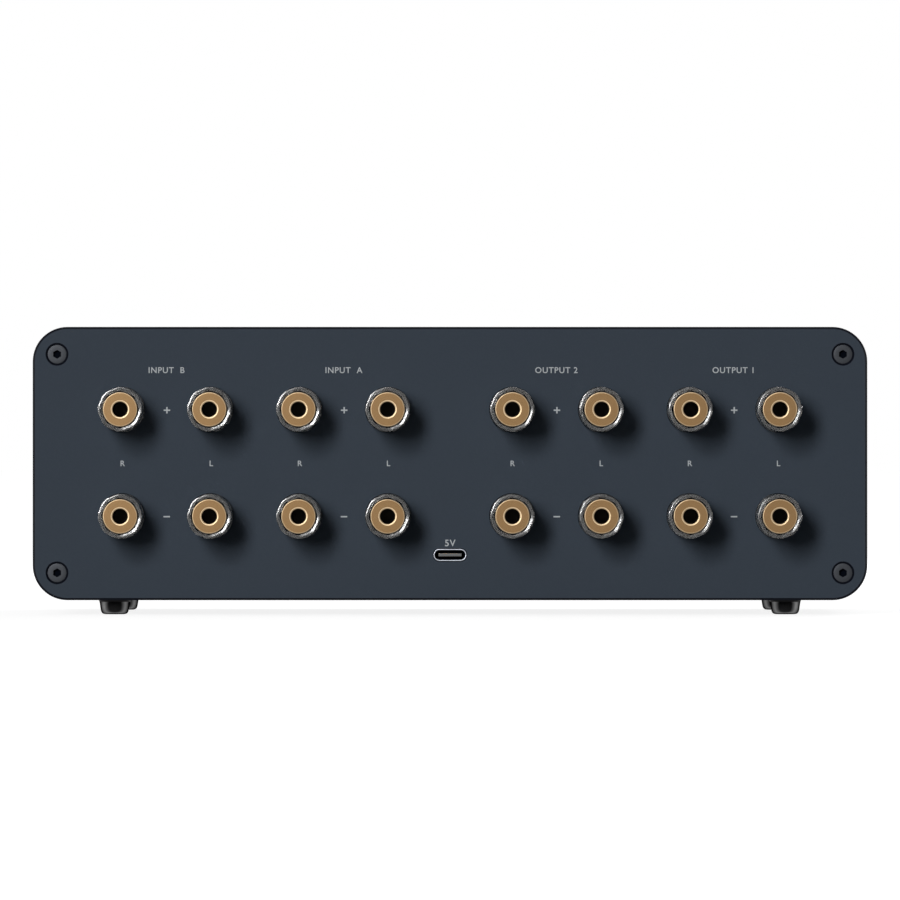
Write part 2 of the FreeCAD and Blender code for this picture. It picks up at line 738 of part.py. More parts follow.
def build_ribbon():
    """The flat cable between the two boards and its two plugs, which it leaves downwards."""
    front = f"({FRONT_INSIDE} + {FRONT_BOARD_BACK})"
    rear = f"({REAR_FACE} - {REAR_BOARD_BACK})"
    height = f"{POST_Z} + post_row_spacing / 2"
    plugs = new_body("ribbon_plugs", z=height)
    for face, backwards in ((front, True), (rear, False)):
        sketch = new_sketch(plugs, "XZ_Plane", out=face)
        rectangle(sketch, "plug_width", "plug_height")
        pad(plugs, sketch, "plug_depth", backwards)

    cable = new_body("ribbon_cable", z=f"{height} - plug_height / 2")
    side = new_sketch(cable, "YZ_Plane", out="-ribbon_width / 2")
    near, far = f"({front} + plug_depth / 2)", f"({rear} - plug_depth / 2)"
    low, inner = "(-ribbon_drop)", "(ribbon_thickness - ribbon_drop)"
    half = "ribbon_thickness / 2"
    outline(
        side,
        [
            (f"{near} - {half}", "0"),
            (f"{near} - {half}", low),
            (f"{far} + {half}", low),
            (f"{far} + {half}", "0"),
            (f"{far} - {half}", "0"),
            (f"{far} - {half}", inner),
            (f"{near} + {half}", inner),
            (f"{near} + {half}", "0"),
        ],
    )
    pad(cable, side, "ribbon_width")
    across = along("x")
    for level, radius in ((inner, "ribbon_bend"), (low, "ribbon_bend + ribbon_thickness")):
        bend = at_height("z", level)
        dress(cable, "Fillet", radius, lambda edge: across(edge) and bend(edge))


def build_meters():
    """Two level meters: clear panes, cases, dial plates and moving-coil movements."""
    margin = "2 * pane_overlap"
    pane_size = (f"window_width + {margin}", f"window_height + {margin}")

    panes = new_body("meter_panes", y=FRONT_INSIDE, z=CASE_CENTRE)
    glass = new_sketch(panes, "XZ_Plane", across=METER_X)
    rectangle(glass, *pane_size)
    repeat(panes, [pad(panes, glass, "pane_thickness")], LEFT_AND_RIGHT)

    cases = new_body("meter_cases", y=FRONT_INSIDE, z=CASE_CENTRE)
    block = new_sketch(cases, "XZ_Plane", across=METER_X)
    rectangle(block, *[f"{size} + 2 * meter_wall" for size in pane_size])
    solid = pad(cases, block, "meter_depth", backwards=True)
    hollow = new_sketch(cases, "XZ_Plane", across=METER_X)
    rectangle(hollow, *pane_size)
    inside = pocket(cases, hollow, "meter_depth - meter_wall", backwards=True)
    repeat(cases, [solid, inside], LEFT_AND_RIGHT)

    dials = new_body("meter_dials", y=FRONT_INSIDE, z=CASE_CENTRE)
    card = new_sketch(dials, "XZ_Plane", across=METER_X, out="dial_setback")
    rectangle(card, *[f"{size} - 2 * fit_gap" for size in pane_size])
    circle(card, "movement_bore_radius", "0", PIVOT_Z)
    face = pad(dials, card, "dial_thickness", backwards=True)
    repeat(dials, [face], LEFT_AND_RIGHT)

    movements = new_body("meter_movements", y=FRONT_INSIDE, z=f"{CASE_CENTRE} + {PIVOT_Z}")
    start = "(dial_setback + dial_thickness)"
    end = "(meter_depth - meter_wall)"
    profile = [
        ("movement_bore_radius", start),
        ("movement_neck_radius", start),
        ("movement_neck_radius", f"{start} + movement_bore_depth / 2"),
        ("movement_radius", f"{start} + movement_bore_depth / 2"),
        ("movement_radius", end),
        ("0", end),
        ("0", f"{start} + movement_bore_depth"),
        ("movement_bore_radius", f"{start} + movement_bore_depth"),
    ]
    magnet = turned(movements, profile, x=METER_X)
    repeat(movements, [magnet], LEFT_AND_RIGHT)


def build_needle(label, side):
    """A meter's needle with its hub, tail and staff, leaning left at rest."""
    body = new_body(
        label,
        x=f"{side} * {METER_X}",
        y=f"{FRONT_INSIDE} + dial_setback",
        z=f"{CASE_CENTRE} + {PIVOT_Z}",
        axis=V(0, -1, 0),
        angle="needle_rest_angle",
    )
    front = "(-assembly_gap - needle_hub_height)"
    staff_end = "dial_thickness + movement_bore_depth - assembly_gap"
    hub = [
        ("0", front),
        ("needle_hub_radius", front),
        ("needle_hub_radius", "-assembly_gap"),
        ("needle_staff_radius", "-assembly_gap"),
        ("needle_staff_radius", staff_end),
        ("0", staff_end),
    ]
    turned(body, hub)
    blade_start = "-assembly_gap - (needle_hub_height + needle_thickness) / 2"
    blade = new_sketch(body, "XZ_Plane", out=blade_start)
    half = "needle_width / 2"
    outline(
        blade,
        [
            (f"-{half}", "0"),
            (f"-2 * {half}", "-needle_tail"),
            (f"2 * {half}", "-needle_tail"),
            (half, "0"),
            ("needle_tip_width / 2", "needle_length"),
            ("-needle_tip_width / 2", "needle_length"),
        ],
    )
    pad(body, blade, "needle_thickness", backwards=True)


def build_switches():
    """Two rotary switches with threaded bushings, and the nuts that hold them in the panel."""
    switches = new_body("selector_switches", y=FRONT_INSIDE, z=CASE_CENTRE)
    front = "-(front_thickness + bushing_reach)"
    bore = "shaft_radius + fit_gap"
    depth = "shaft_inner_length + assembly_gap"
    profile = [
        (bore, front),
        ("bushing_radius", front),
        ("bushing_radius", "0"),
        ("switch_radius", "0"),
        ("switch_radius", f"{FRONT_BOARD_FACE}"),
        ("0", f"{FRONT_BOARD_FACE}"),
        ("0", depth),
        (bore, depth),
    ]
    switch = turned(switches, profile, x=KNOB_X)
    repeat(switches, [switch], LEFT_AND_RIGHT)

    nuts = new_body("bushing_nuts", y=FRONT_FACE, z=CASE_CENTRE)
    sketch = new_sketch(nuts, "XZ_Plane", across=KNOB_X)
    polygon(sketch, 6, "bushing_nut_flats")
    circle(sketch, "bushing_radius + fit_gap")
    repeat(nuts, [pad(nuts, sketch, "bushing_nut_height")], LEFT_AND_RIGHT)


def build_selector(name, side, angle):
    """A selector knob and its shaft, turned together to the first position."""
    where = {"x": f"{side} * {KNOB_X}", "y": FRONT_FACE, "z": CASE_CENTRE}
    shaft = new_body(f"{name}_shaft", **where)
    back = "-(knob_gap + knob_recess_depth)"
    blind = "(knob_gap + knob_bore_depth)"
    inner_end = "front_thickness + shaft_inner_length"
    section = new_sketch(shaft, "XZ_Plane", out=inner_end)
    circle(section, "shaft_radius")
    pad(shaft, section, f"{inner_end} + {blind} - fit_gap")

    knob = new_body(f"{name}_knob", axis=V(0, -1, 0), angle=angle, **where)
    face = "-(knob_gap + knob_length)"
    bore = "shaft_radius + fit_gap"
    profile = [
        ("0", face),
        ("knob_radius - knob_chamfer", face),
        ("knob_radius", f"{face} + knob_chamfer"),
        ("knob_radius", "-knob_gap"),
        ("knob_recess_radius", "-knob_gap"),
        ("knob_recess_radius", back),
        (bore, back),
        (bore, f"-{blind}"),
        ("0", f"-{blind}"),
    ]
    turned(knob, profile)
    middle = "(knob_radius + knob_mark_start) / 2"
    mark = new_sketch(knob, "XZ_Plane", up=middle, out=face)
    rectangle(mark, "knob_mark_width", "knob_radius - knob_mark_start")
    pocket(knob, mark, "knob_mark_depth", backwards=True)


def bodies():
    return [o for o in doc.Objects if o.TypeId == "PartDesign::Body"]


def check_all():
    """Stops the build at an object that failed or a sub-part that isn't sound."""
    for item in doc.Objects:
        if "Invalid" in item.State or "Error" in item.State:
            raise RuntimeError(f"{item.Label} failed: {item.State}")
    for body in bodies():
        if body.Shape.isNull() or not body.Shape.isValid() or not body.Shape.Solids:
            raise RuntimeError(f"{body.Label} has no sound shape")


def main():
    build_housing()
    build_rear_panel()
    build_front_panel()
    build_panel_screws()
    build_feet()
    build_post_collars()
    build_post_stems()
    build_post_fixing_nuts()
    build_caps()
    build_inlet()
    build_rear_board()
    build_relays()
    build_front_board()
    build_ribbon()
    build_meters()
    build_needle("left_needle", -1)
    build_needle("right_needle", 1)
    build_switches()
    build_selector("amplifier", -1, "amplifier_rest_angle")
    build_selector("speaker", 1, "0")
    doc.recompute()
    check_all()
    os.makedirs("parts", exist_ok=True)
    for body in bodies():
        shape = body.Shape
        shape.exportStep(f"parts/{body.Label}.step")
        print(f"{body.Label}: {len(shape.Solids)} solid(s), {shape.Volume:.1f} mm3")


main()
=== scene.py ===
import math

import bmesh
import bpy
from mathutils import Matrix, Vector


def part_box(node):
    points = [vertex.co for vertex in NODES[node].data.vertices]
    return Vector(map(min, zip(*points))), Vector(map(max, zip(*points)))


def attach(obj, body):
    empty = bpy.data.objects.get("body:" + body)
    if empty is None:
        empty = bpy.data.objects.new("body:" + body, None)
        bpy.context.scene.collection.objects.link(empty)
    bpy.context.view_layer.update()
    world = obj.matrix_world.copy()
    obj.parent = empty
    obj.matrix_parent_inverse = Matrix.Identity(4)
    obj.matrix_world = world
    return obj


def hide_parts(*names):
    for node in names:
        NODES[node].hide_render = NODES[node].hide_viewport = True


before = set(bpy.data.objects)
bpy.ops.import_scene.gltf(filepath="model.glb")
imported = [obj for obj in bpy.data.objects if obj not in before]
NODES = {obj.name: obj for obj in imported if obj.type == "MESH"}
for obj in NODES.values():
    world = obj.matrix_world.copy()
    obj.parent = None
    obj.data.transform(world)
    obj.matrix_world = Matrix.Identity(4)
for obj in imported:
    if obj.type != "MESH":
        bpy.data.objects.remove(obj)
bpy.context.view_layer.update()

# Sizes are metres, in the frame's axes: +X along the case, +Y out of its back, +Z up.
# A piece is built round its own axis, which points out of the panel that carries it.
MM = 0.001
# SKIN is the hair's breadth that keeps two faces apart and a painted limit clear of a corner.
# HAIR keeps the ends of a slot from being full half rounds, whose sides would have no length.
SKIN = 0.02 * MM
HAIR = 0.001 * MM
TURN = 2 * math.pi
ROUND = 64

CASE = "case"


def low(node):
    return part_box(node)[0]


def high(node):
    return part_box(node)[1]


def middle(node):
    return (low(node) + high(node)) / 2


REAR_FACE = high("rear_panel").y
FRONT_FACE = low("front_panel").y
POSTS = sorted(name[: -len("_sleeve")] for name in NODES if name.endswith("_sleeve"))


def post_axis(post):
    """The point where a post's axis meets the rear panel's face."""
    spot = middle(f"{post}_sleeve")
    return Vector((spot.x, REAR_FACE, spot.z))


# Node groups that several finishes share

FINE_SHARE = 0.6
BROAD_SHARE = 0.4
RING_SPACING = 0.0002


def new_group(name, inputs, outputs):
    """An empty shader node group with named sockets and their default values."""
    group = bpy.data.node_groups.new(name, "ShaderNodeTree")
    for label, kind, value in inputs:
        socket = group.interface.new_socket(label, in_out="INPUT", socket_type=kind)
        socket.default_value = value
    for label, kind in outputs:
        group.interface.new_socket(label, in_out="OUTPUT", socket_type=kind)
    return group


def add_node(tree, kind, inputs=(), **settings):
    """A node with its settings, and values or links for its inputs by name or number."""
    node = tree.nodes.new(kind)
    for key, value in settings.items():
        setattr(node, key, value)
    for key, value in dict(inputs).items():
        if isinstance(value, bpy.types.NodeSocket):
            tree.links.new(value, node.inputs[key])
        else:
            node.inputs[key].default_value = value
    return node


def maths(tree, operation, first, second=0.0, clamp=False):
    """The output of one math node."""
    return add_node(
        tree, "ShaderNodeMath", {0: first, 1: second}, operation=operation, use_clamp=clamp
    ).outputs[0]


def grain_group():
    """Fine mottling: a colour between two, and a height, from noise at two scales."""
    group = new_group(
        "Surface grain",
        [
            ("Light", "NodeSocketColor", (1, 1, 1, 1)),
            ("Dark", "NodeSocketColor", (0, 0, 0, 1)),
            ("Fine scale", "NodeSocketFloat", 1500.0),
            ("Broad scale", "NodeSocketFloat", 25.0),
        ],
        [("Colour", "NodeSocketColor"), ("Height", "NodeSocketFloat")],
    )
    given = add_node(group, "NodeGroupInput").outputs
    place = add_node(group, "ShaderNodeTexCoord").outputs["Object"]
    fine = add_node(
        group, "ShaderNodeTexNoise", {"Vector": place, "Scale": given["Fine scale"], "Detail": 3.0}
    ).outputs["Fac"]
    broad = add_node(
        group, "ShaderNodeTexNoise", {"Vector": place, "Scale": given["Broad scale"], "Detail": 2.0}
    ).outputs["Fac"]
    both = maths(
        group,
        "ADD",
        maths(group, "MULTIPLY", fine, FINE_SHARE),
        maths(group, "MULTIPLY", broad, BROAD_SHARE),
    )
    colour = add_node(
        group,
        "ShaderNodeMix",
        {"Factor": both, "A": given["Dark"], "B": given["Light"]},
        data_type="RGBA",
    )
    mixed = [s for s in colour.outputs if s.type == "RGBA"][0]
    add_node(group, "NodeGroupOutput", {"Colour": mixed, "Height": fine})
    return group


def rings_group():
    """Turning marks: fine rings round a piece's own axis, as a height."""
    group = new_group(
        "Turned rings",
        [("Spacing", "NodeSocketFloat", RING_SPACING)],
        [("Height", "NodeSocketFloat")],
    )
    given = add_node(group, "NodeGroupInput").outputs
    own = add_node(group, "ShaderNodeAttribute", attribute_name="own").outputs["Vector"]
    split = add_node(group, "ShaderNodeSeparateXYZ", {"Vector": own}).outputs
    x_squared, z_squared = (maths(group, "MULTIPLY", split[key], split[key]) for key in "XZ")
    radius = maths(group, "SQRT", maths(group, "ADD", x_squared, z_squared))
    along = maths(group, "ADD", radius, split["Y"])
    steps = maths(group, "DIVIDE", along, given["Spacing"])
    vector = add_node(group, "ShaderNodeCombineXYZ", {"X": steps}).outputs["Vector"]
    noise = add_node(
        group, "ShaderNodeTexNoise", {"Vector": vector, "Scale": 1.0, "Detail": 2.0}
    ).outputs["Fac"]
    add_node(group, "NodeGroupOutput", {"Height": noise})
    return group


GRAIN = grain_group()
RINGS = rings_group()


# Finishes

def finish(name, light, dark, roughness, metallic=0.0, **sockets):
    """A material with its grain already in place; returns the material, its tree and shader."""
    material = bpy.data.materials.new(name)
    material.use_nodes = True
    tree = material.node_tree
    shader = tree.nodes["Principled BSDF"]
    shader.inputs["Roughness"].default_value = roughness
    shader.inputs["Metallic"].default_value = metallic
    for label, value in sockets.items():
        shader.inputs[label.replace("_", " ")].default_value = value
    grain = add_node(tree, "ShaderNodeGroup", node_tree=GRAIN)
    grain.inputs["Light"].default_value = (*light, 1)
    grain.inputs["Dark"].default_value = (*dark, 1)
    tree.links.new(grain.outputs["Colour"], shader.inputs["Base Color"])
    return material, tree, shader, grain


def bump(tree, shader, height, distance, strength=1.0):
    """Feeds a height to the shader's normal."""
    node = add_node(
        tree, "ShaderNodeBump", {"Height": height, "Distance": distance, "Strength": strength}
    )
    tree.links.new(node.outputs["Normal"], shader.inputs["Normal"])


def anodised(name, light, dark, roughness=0.55, gloss=0.04):
    """Blasted and anodised aluminium: a dark satin skin with a fine grain."""
    material, tree, shader, grain = finish(name, light, dark, roughness, Specular_IOR_Level=gloss)
    grain.inputs["Fine scale"].default_value = 2200
    grain.inputs["Broad scale"].default_value = 14
    bump(tree, shader, grain.outputs["Height"], 0.00003, 0.5)
    return material


def turned_metal(name, light, dark, roughness, depth=0.000005, metallic=1.0):
    """Metal, plated or bare, with fine rings round its own axis."""
    material, tree, shader, _ = finish(name, light, dark, roughness, metallic)
    rings = add_node(tree, "ShaderNodeGroup", node_tree=RINGS)
    rings.inputs["Spacing"].default_value = RING_SPACING
    bump(tree, shader, rings.outputs["Height"], depth)
    rough = add_node(
        tree,
        "ShaderNodeMapRange",
        {"Value": rings.outputs["Height"], "To Min": roughness * 0.85, "To Max": roughness * 1.15},
    )
    tree.links.new(rough.outputs["Result"], shader.inputs["Roughness"])
    return material


def clear(name, light, dark, roughness, gloss=0.5):
    """Clear moulded plastic or a window pane, very slightly uneven in colour."""
    material, _, _, grain = finish(
        name, light, dark, roughness, Transmission_Weight=1.0, IOR=1.49, Specular_IOR_Level=gloss
    )
    grain.inputs["Fine scale"].default_value = 400
    return material


def moulded(name, light, dark, roughness, fine=1800, gloss=0.4):
    """Moulded plastic, rubber or lacquered board with a light texture."""
    material, tree, shader, grain = finish(name, light, dark, roughness, Specular_IOR_Level=gloss)
    grain.inputs["Fine scale"].default_value = fine
    bump(tree, shader, grain.outputs["Height"], 0.00002, 0.6)
    return material


def satin_flanks(material):
    """A painted sheen on the sides of a dark moulding, but not on its middle or its very edge."""
    tree = material.node_tree
    shader = tree.nodes["Principled BSDF"]
    facing = add_node(tree, "ShaderNodeLayerWeight", {"Blend": 0.5}).outputs["Facing"]
    rise = {"Value": facing, "From Min": 0.11, "From Max": 0.29, "To Min": 0.0, "To Max": 1.0}
    fall = {"Value": facing, "From Min": 0.32, "From Max": 0.6, "To Min": 1.0, "To Max": 0.0}
    up = add_node(tree, "ShaderNodeMapRange", rise).outputs["Result"]
    down = add_node(tree, "ShaderNodeMapRange", fall).outputs["Result"]
    tree.links.new(maths(tree, "MULTIPLY", up, down), shader.inputs["Coat Weight"])
    shader.inputs["Coat IOR"].default_value = 2.25
    shader.inputs["Coat Roughness"].default_value = 0.35
    return material


PANEL = anodised("slate_anodised", (0.035, 0.045, 0.059), (0.029, 0.038, 0.051))
# A near-black copy of the panel's finish for its rim and the walls of its holes: painted shade, a dark edge
# line
PANEL_PAINTED_SHADE = anodised("slate_painted_shade", (0.004, 0.005, 0.009), (0.002, 0.003, 0.006), 0.6, 0.05)
SLEEVE = anodised("sleeve_anodised", (0.028, 0.036, 0.046), (0.021, 0.028, 0.037), 0.65, 0.1)
KNOB = turned_metal("knob_anodised", (0.10, 0.115, 0.135), (0.06, 0.07, 0.085), 0.38, metallic=0.85)
GOLD = turned_metal("gold_plate", (0.225, 0.138, 0.064), (0.185, 0.112, 0.052), 0.17, depth=0.000001)
# A lighter copy of the gold for the plug mouths and outer rims: painted highlight
GOLD_PAINTED_HIGHLIGHT = turned_metal("gold_painted_highlight", (0.29, 0.215, 0.133), (0.25, 0.185, 0.112), 0.42, depth=0.000001)
# A near-black copy of the gold for the plug bores: painted shade inside them
SOCKET_PAINTED_SHADE = turned_metal("socket_bore_painted_shade", (0.020, 0.013, 0.007), (0.010, 0.006, 0.003), 0.6, metallic=0.3)
SCREW = turned_metal("black_steel", (0.011, 0.013, 0.0165), (0.0075, 0.009, 0.0115), 0.42, metallic=0.7)
# Near black for the insides of sockets, recesses and the inlet: painted shade where little light gets in
PAINTED_SHADE = moulded("recess_painted_shade", (0.003, 0.004, 0.007), (0.002, 0.003, 0.005), 0.7, gloss=0.0)
STEEL = turned_metal("tinned_steel", (0.40, 0.41, 0.45), (0.32, 0.33, 0.37), 0.3)
NICKEL = turned_metal("shell_nickel", (0.205, 0.215, 0.24), (0.175, 0.185, 0.21), 0.36)
BRASS = turned_metal("plain_brass", (0.55, 0.42, 0.22), (0.46, 0.34, 0.17), 0.35)
CLEAR = clear("clear_plastic", (0.86, 0.86, 0.85), (0.81, 0.81, 0.80), 0.17, 0.07)
SMOKY = clear("smoky_plastic", (0.18, 0.185, 0.195), (0.12, 0.125, 0.135), 0.12)
PANE = clear("window_pane", (0.97, 0.98, 0.98), (0.95, 0.96, 0.96), 0.01)
RUBBER = moulded("foot_rubber", (0.010, 0.010, 0.011), (0.006, 0.006, 0.007), 0.5, gloss=0.1)
# A lighter copy of the rubber, with the painted sheen, for the feet's flanks
RUBBER_PAINTED_SHEEN = satin_flanks(
    moulded("rubber_painted_sheen", (0.027, 0.027, 0.028), (0.021, 0.021, 0.022), 0.5, gloss=0.0)
)
TONGUE = moulded("tongue_plastic", (0.065, 0.068, 0.070), (0.045, 0.047, 0.049), 0.45)
BLACK_PLASTIC = moulded("black_plastic", (0.02, 0.02, 0.022), (0.012, 0.012, 0.013), 0.45)
GREY_PLASTIC = moulded("ribbon_grey", (0.36, 0.36, 0.37), (0.28, 0.28, 0.29), 0.55)
BOARD = moulded("board_lacquer", (0.02, 0.12, 0.06), (0.012, 0.08, 0.04), 0.3, 300)
IRON = moulded("sintered_iron", (0.11, 0.11, 0.12), (0.07, 0.07, 0.075), 0.6)
CARD = moulded("dial_card", (0.84, 0.77, 0.58), (0.78, 0.70, 0.50), 0.7)
INK = moulded("pale_ink", (0.35, 0.37, 0.385), (0.29, 0.31, 0.325), 0.6)
DIAL_INK = moulded("dial_ink", (0.018, 0.018, 0.02), (0.012, 0.012, 0.014), 0.6)
DIAL_RED = moulded("dial_red", (0.50, 0.03, 0.02), (0.42, 0.02, 0.015), 0.6)
NEEDLE = moulded("needle_paint", (0.02, 0.02, 0.022), (0.012, 0.012, 0.014), 0.4)
WHITE_LINE = moulded("pointer_white", (0.80, 0.80, 0.78), (0.72, 0.72, 0.70), 0.5)


# Shapes in mesh code

def across(point):
    """How far a point is from its own axis."""
    return math.hypot(point.x, point.z)


def circle(radius, y, count=ROUND):
    """A ring of points round the Y axis."""
    return [
        Vector((radius * math.cos(TURN * i / count), y, radius * math.sin(TURN * i / count)))
        for i in range(count)
    ]


def faceted(flat, sides, y, limit=math.inf, count=ROUND, turn=0.0):
    """A ring that follows a polygon with a flat at turn, its corners no further out than limit."""
    step = TURN / sides
    points = []
    for i in range(count):
        angle = TURN * i / count
        off = (angle - turn + step / 2) % step - step / 2
        radius = min(limit, flat / math.cos(off))
        points.append(Vector((radius * math.cos(angle), y, radius * math.sin(angle))))
    return points


def round_rectangle(half_width, half_height, radius, y, steps=8):
    """A ring that follows a rectangle with round corners."""
    points = []
    for quarter in range(4):
        for step in range(steps + 1):
            angle = TURN / 4 * (quarter + step / steps)
            side = 1 if quarter in (0, 3) else -1
            top = 1 if quarter in (0, 1) else -1
            x = side * (half_width - radius) + radius * math.cos(angle)
            z = top * (half_height - radius) + radius * math.sin(angle)
            points.append(Vector((x, y, z)))
    return points


def softened(profile, steps=4):
    """A (radius, y) profile; a third value rounds its corner, a fourth makes the round uneven."""
    points = []
    for index, corner in enumerate(profile):
        here = Vector(corner[:2])
        if len(corner) == 2:
            points.append(here)
            continue
        before = (Vector(profile[index - 1][:2]) - here).normalized() * corner[2]
        after = (Vector(profile[(index + 1) % len(profile)][:2]) - here).normalized() * corner[-1]
        for step in range(steps + 1):
            t = step / steps
            points.append(here + before * (1 - t) ** 2 + after * t**2)
    return points


def rings_of(profile, steps=4, count=ROUND):
    """The rings of a turned shape, from a profile with rounded corners."""
    return [circle(point.x, point.y, count) for point in softened(profile, steps)]


class Shape:
    """A mesh that grows by lofts and plates; own holds each point round its own axis."""

    def __init__(self):
        self.mesh = bmesh.new()
        self.own = self.mesh.verts.layers.float_vector.new("own")

    def ring(self, points, place, facing):
        ring = []
        for point in points:
            spot = Vector((point.x, point.y * facing, point.z)) + place
            vertex = self.mesh.verts.new(spot)
            vertex[self.own] = point
            ring.append(vertex)
        return ring

    def strip(self, first, second, finish_index):
        count = len(first)
        for i in range(count):
            j = (i + 1) % count
            face = self.mesh.faces.new((first[i], first[j], second[j], second[i]))
            face.material_index = finish_index

    def loft(self, rings, place=Vector(), facing=1, closed=False, finish_index=0):
        """Joins rings of equal count; closed ties the last to the first, else both ends get a cap."""
        made = [self.ring(points, place, facing) for points in rings]
        pairs = list(zip(made, made[1:]))
        if closed:
            pairs.append((made[-1], made[0]))
        for first, second in pairs:
            self.strip(first, second, finish_index)
        if not closed:
            for ring in (made[0], made[-1]):
                self.mesh.faces.new(ring).material_index = finish_index
        return made

    def plate(self, walls, place, facing=1):
        """A plate with the first finish; each wall is its rings, front to back, and their finish."""
        made = []
        for wall, index in walls:
            rings = [self.ring(points, place, facing) for points in wall]
            for first, second in zip(rings, rings[1:]):
                self.strip(first, second, index)
            made.append(rings)
        for side in (0, -1):
            edges = []
            for rings in made:
                ring = rings[side]
                edges += [self.mesh.edges.get(pair) for pair in zip(ring, ring[1:] + ring[:1])]
            filled = bmesh.ops.triangle_fill(self.mesh, use_beauty=True, edges=edges)
            for item in filled["geom"]:
                if isinstance(item, bmesh.types.BMFace):
                    item.material_index = 0

    def paint(self, finish_index, wanted):
        """Gives a finish to the faces whose corners' own points all pass a test."""
        for face in self.mesh.faces:
            if all(wanted(vertex[self.own]) for vertex in face.verts):
                face.material_index = finish_index

    def box(self, corner_low, corner_high, bevel=0.0, finish_index=0):
        """A block with bevelled edges."""
        size = corner_high - corner_low
        centre = (corner_high + corner_low) / 2
        made = bmesh.ops.create_cube(self.mesh, size=1.0)["verts"]
        for vertex in made:
            local = Vector((vertex.co.x * size.x, vertex.co.y * size.y, vertex.co.z * size.z))
            vertex.co = centre + local
            vertex[self.own] = local
        faces = {face for vertex in made for face in vertex.link_faces}
        for face in faces:
            face.material_index = finish_index
        if bevel:
            edges = list({edge for vertex in made for edge in vertex.link_edges})
            bmesh.ops.bevel(
                self.mesh, geom=edges, offset=bevel, segments=2, affect="EDGES", profile=0.5
            )

    def piece(self, name, body, finishes, slot=None, replaces=(), smooth=40):
        """Turns the mesh into a piece that rides on a body."""
        bmesh.ops.recalc_face_normals(self.mesh, faces=self.mesh.faces)
        data = bpy.data.meshes.new(name)
        self.mesh.to_mesh(data)
        self.mesh.free()
        piece = bpy.data.objects.new(name, data)
        bpy.context.scene.collection.objects.link(piece)
        for material in finishes:
            data.materials.append(material)
        shade(piece, smooth)
        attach(piece, body)
        if replaces:
            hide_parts(*replaces)
        return piece


def shade(piece, smooth):
    """Smooth shading up to an angle, with flat faces kept flat."""
    piece.data.polygons.foreach_set("use_smooth", [True] * len(piece.data.polygons))
    piece.data.set_sharp_from_angle(angle=math.radians(smooth))
    weighted = piece.modifiers.new("flat faces", "WEIGHTED_NORMAL")
    weighted.keep_sharp = True
    weighted.weight = 100


# The case

BEVEL = 0.6 * MM
CORNER_RADIUS = 9.4 * MM
PANEL_SIZE = (high("rear_panel") - low("rear_panel")) / 2


def panel_rim(depth):
    """The outer wall of a panel, from its outside face inwards."""
    rings = []
    for y, inset in ((0, BEVEL), (-BEVEL, 0), (-depth, 0)):
        rings.append(
            round_rectangle(
                PANEL_SIZE.x - inset, PANEL_SIZE.z - inset, CORNER_RADIUS - inset, y, steps=16
            )
        )
    return rings


def shifted(rings, x, z):
    """Rings moved across the panel."""
    offset = Vector((x, 0, z))
    return [[point + offset for point in ring] for ring in rings]


SCREW_HEAD = 2.6 * MM
SCREW_SINK = 0.5 * MM
SCREW_AXES = [
    Vector((x, 0, z))
    for x in (low("panel_screws").x + SCREW_HEAD, high("panel_screws").x - SCREW_HEAD)
    for z in (low("panel_screws").z + SCREW_HEAD, high("panel_screws").z - SCREW_HEAD)
]
SEAT_RADIUS = 3.02 * MM
SEAT_DEPTH = 1.7 * MM
SHANK_HOLE = 1.55 * MM
EDGE_BREAK = 0.08 * MM


def screw_seats(depth, centre):
    """The walls of a panel's four countersunk holes."""
    rings = [
        circle(SEAT_RADIUS + EDGE_BREAK, 0, 32),
        circle(SEAT_RADIUS, -EDGE_BREAK, 32),
        circle(SHANK_HOLE, -SEAT_DEPTH, 32),
        circle(SHANK_HOLE, -depth, 32),
    ]
    # The seats' walls take the second finish, the painted shade of a dark edge
    return [(shifted(rings, axis.x, axis.z - centre.z), 1) for axis in SCREW_AXES]


NECK_HOLE_FLATS = 8.1 * MM
INLET_GAP = 0.05 * MM
INLET_BREAK = 0.14 * MM


def build_rear_panel():
    """The back plate, with a softened rim and clean holes."""
    centre = middle("rear_panel")
    place = Vector((0, REAR_FACE, centre.z))
    depth = REAR_FACE - low("rear_panel").y
    # The rim and the walls of the holes and of the inlet's slot take the second finish, the painted shade
    # of a dark edge
    walls = [(panel_rim(depth), 1)] + screw_seats(depth, centre)
    for post in POSTS:
        axis = post_axis(post)
        neck = [faceted(NECK_HOLE_FLATS / 2, 6, y, count=24) for y in (0, -depth)]
        walls.append((shifted(neck, axis.x, axis.z - centre.z), 1))
    inlet = middle("inlet_shell")
    half = (high("inlet_shell") - low("inlet_shell")) / 2
    slot = []
    for y, grow in ((0, INLET_GAP + INLET_BREAK), (-INLET_BREAK, INLET_GAP), (-depth, INLET_GAP)):
        slot.append(round_rectangle(half.x + grow, half.z + grow, half.z + grow - HAIR, y))
    walls.append((shifted(slot, 0, inlet.z - centre.z), 1))
    shape = Shape()
    shape.plate(walls, place)
    shape.piece("rear_plate", CASE, [PANEL, PANEL_PAINTED_SHADE], "panel_paint", ["rear_panel"], smooth=20)


METER_X = 34.0 * MM
KNOB_X = middle("speaker_knob").x
BUSHING_HOLE = 4.55 * MM
WINDOW_SIZE = Vector((28.0, 0, 20.0)) * MM
WINDOW_CORNER = 2.0 * MM
REBATE_CORNER = 0.3 * MM
PANE_GAP = 0.05 * MM


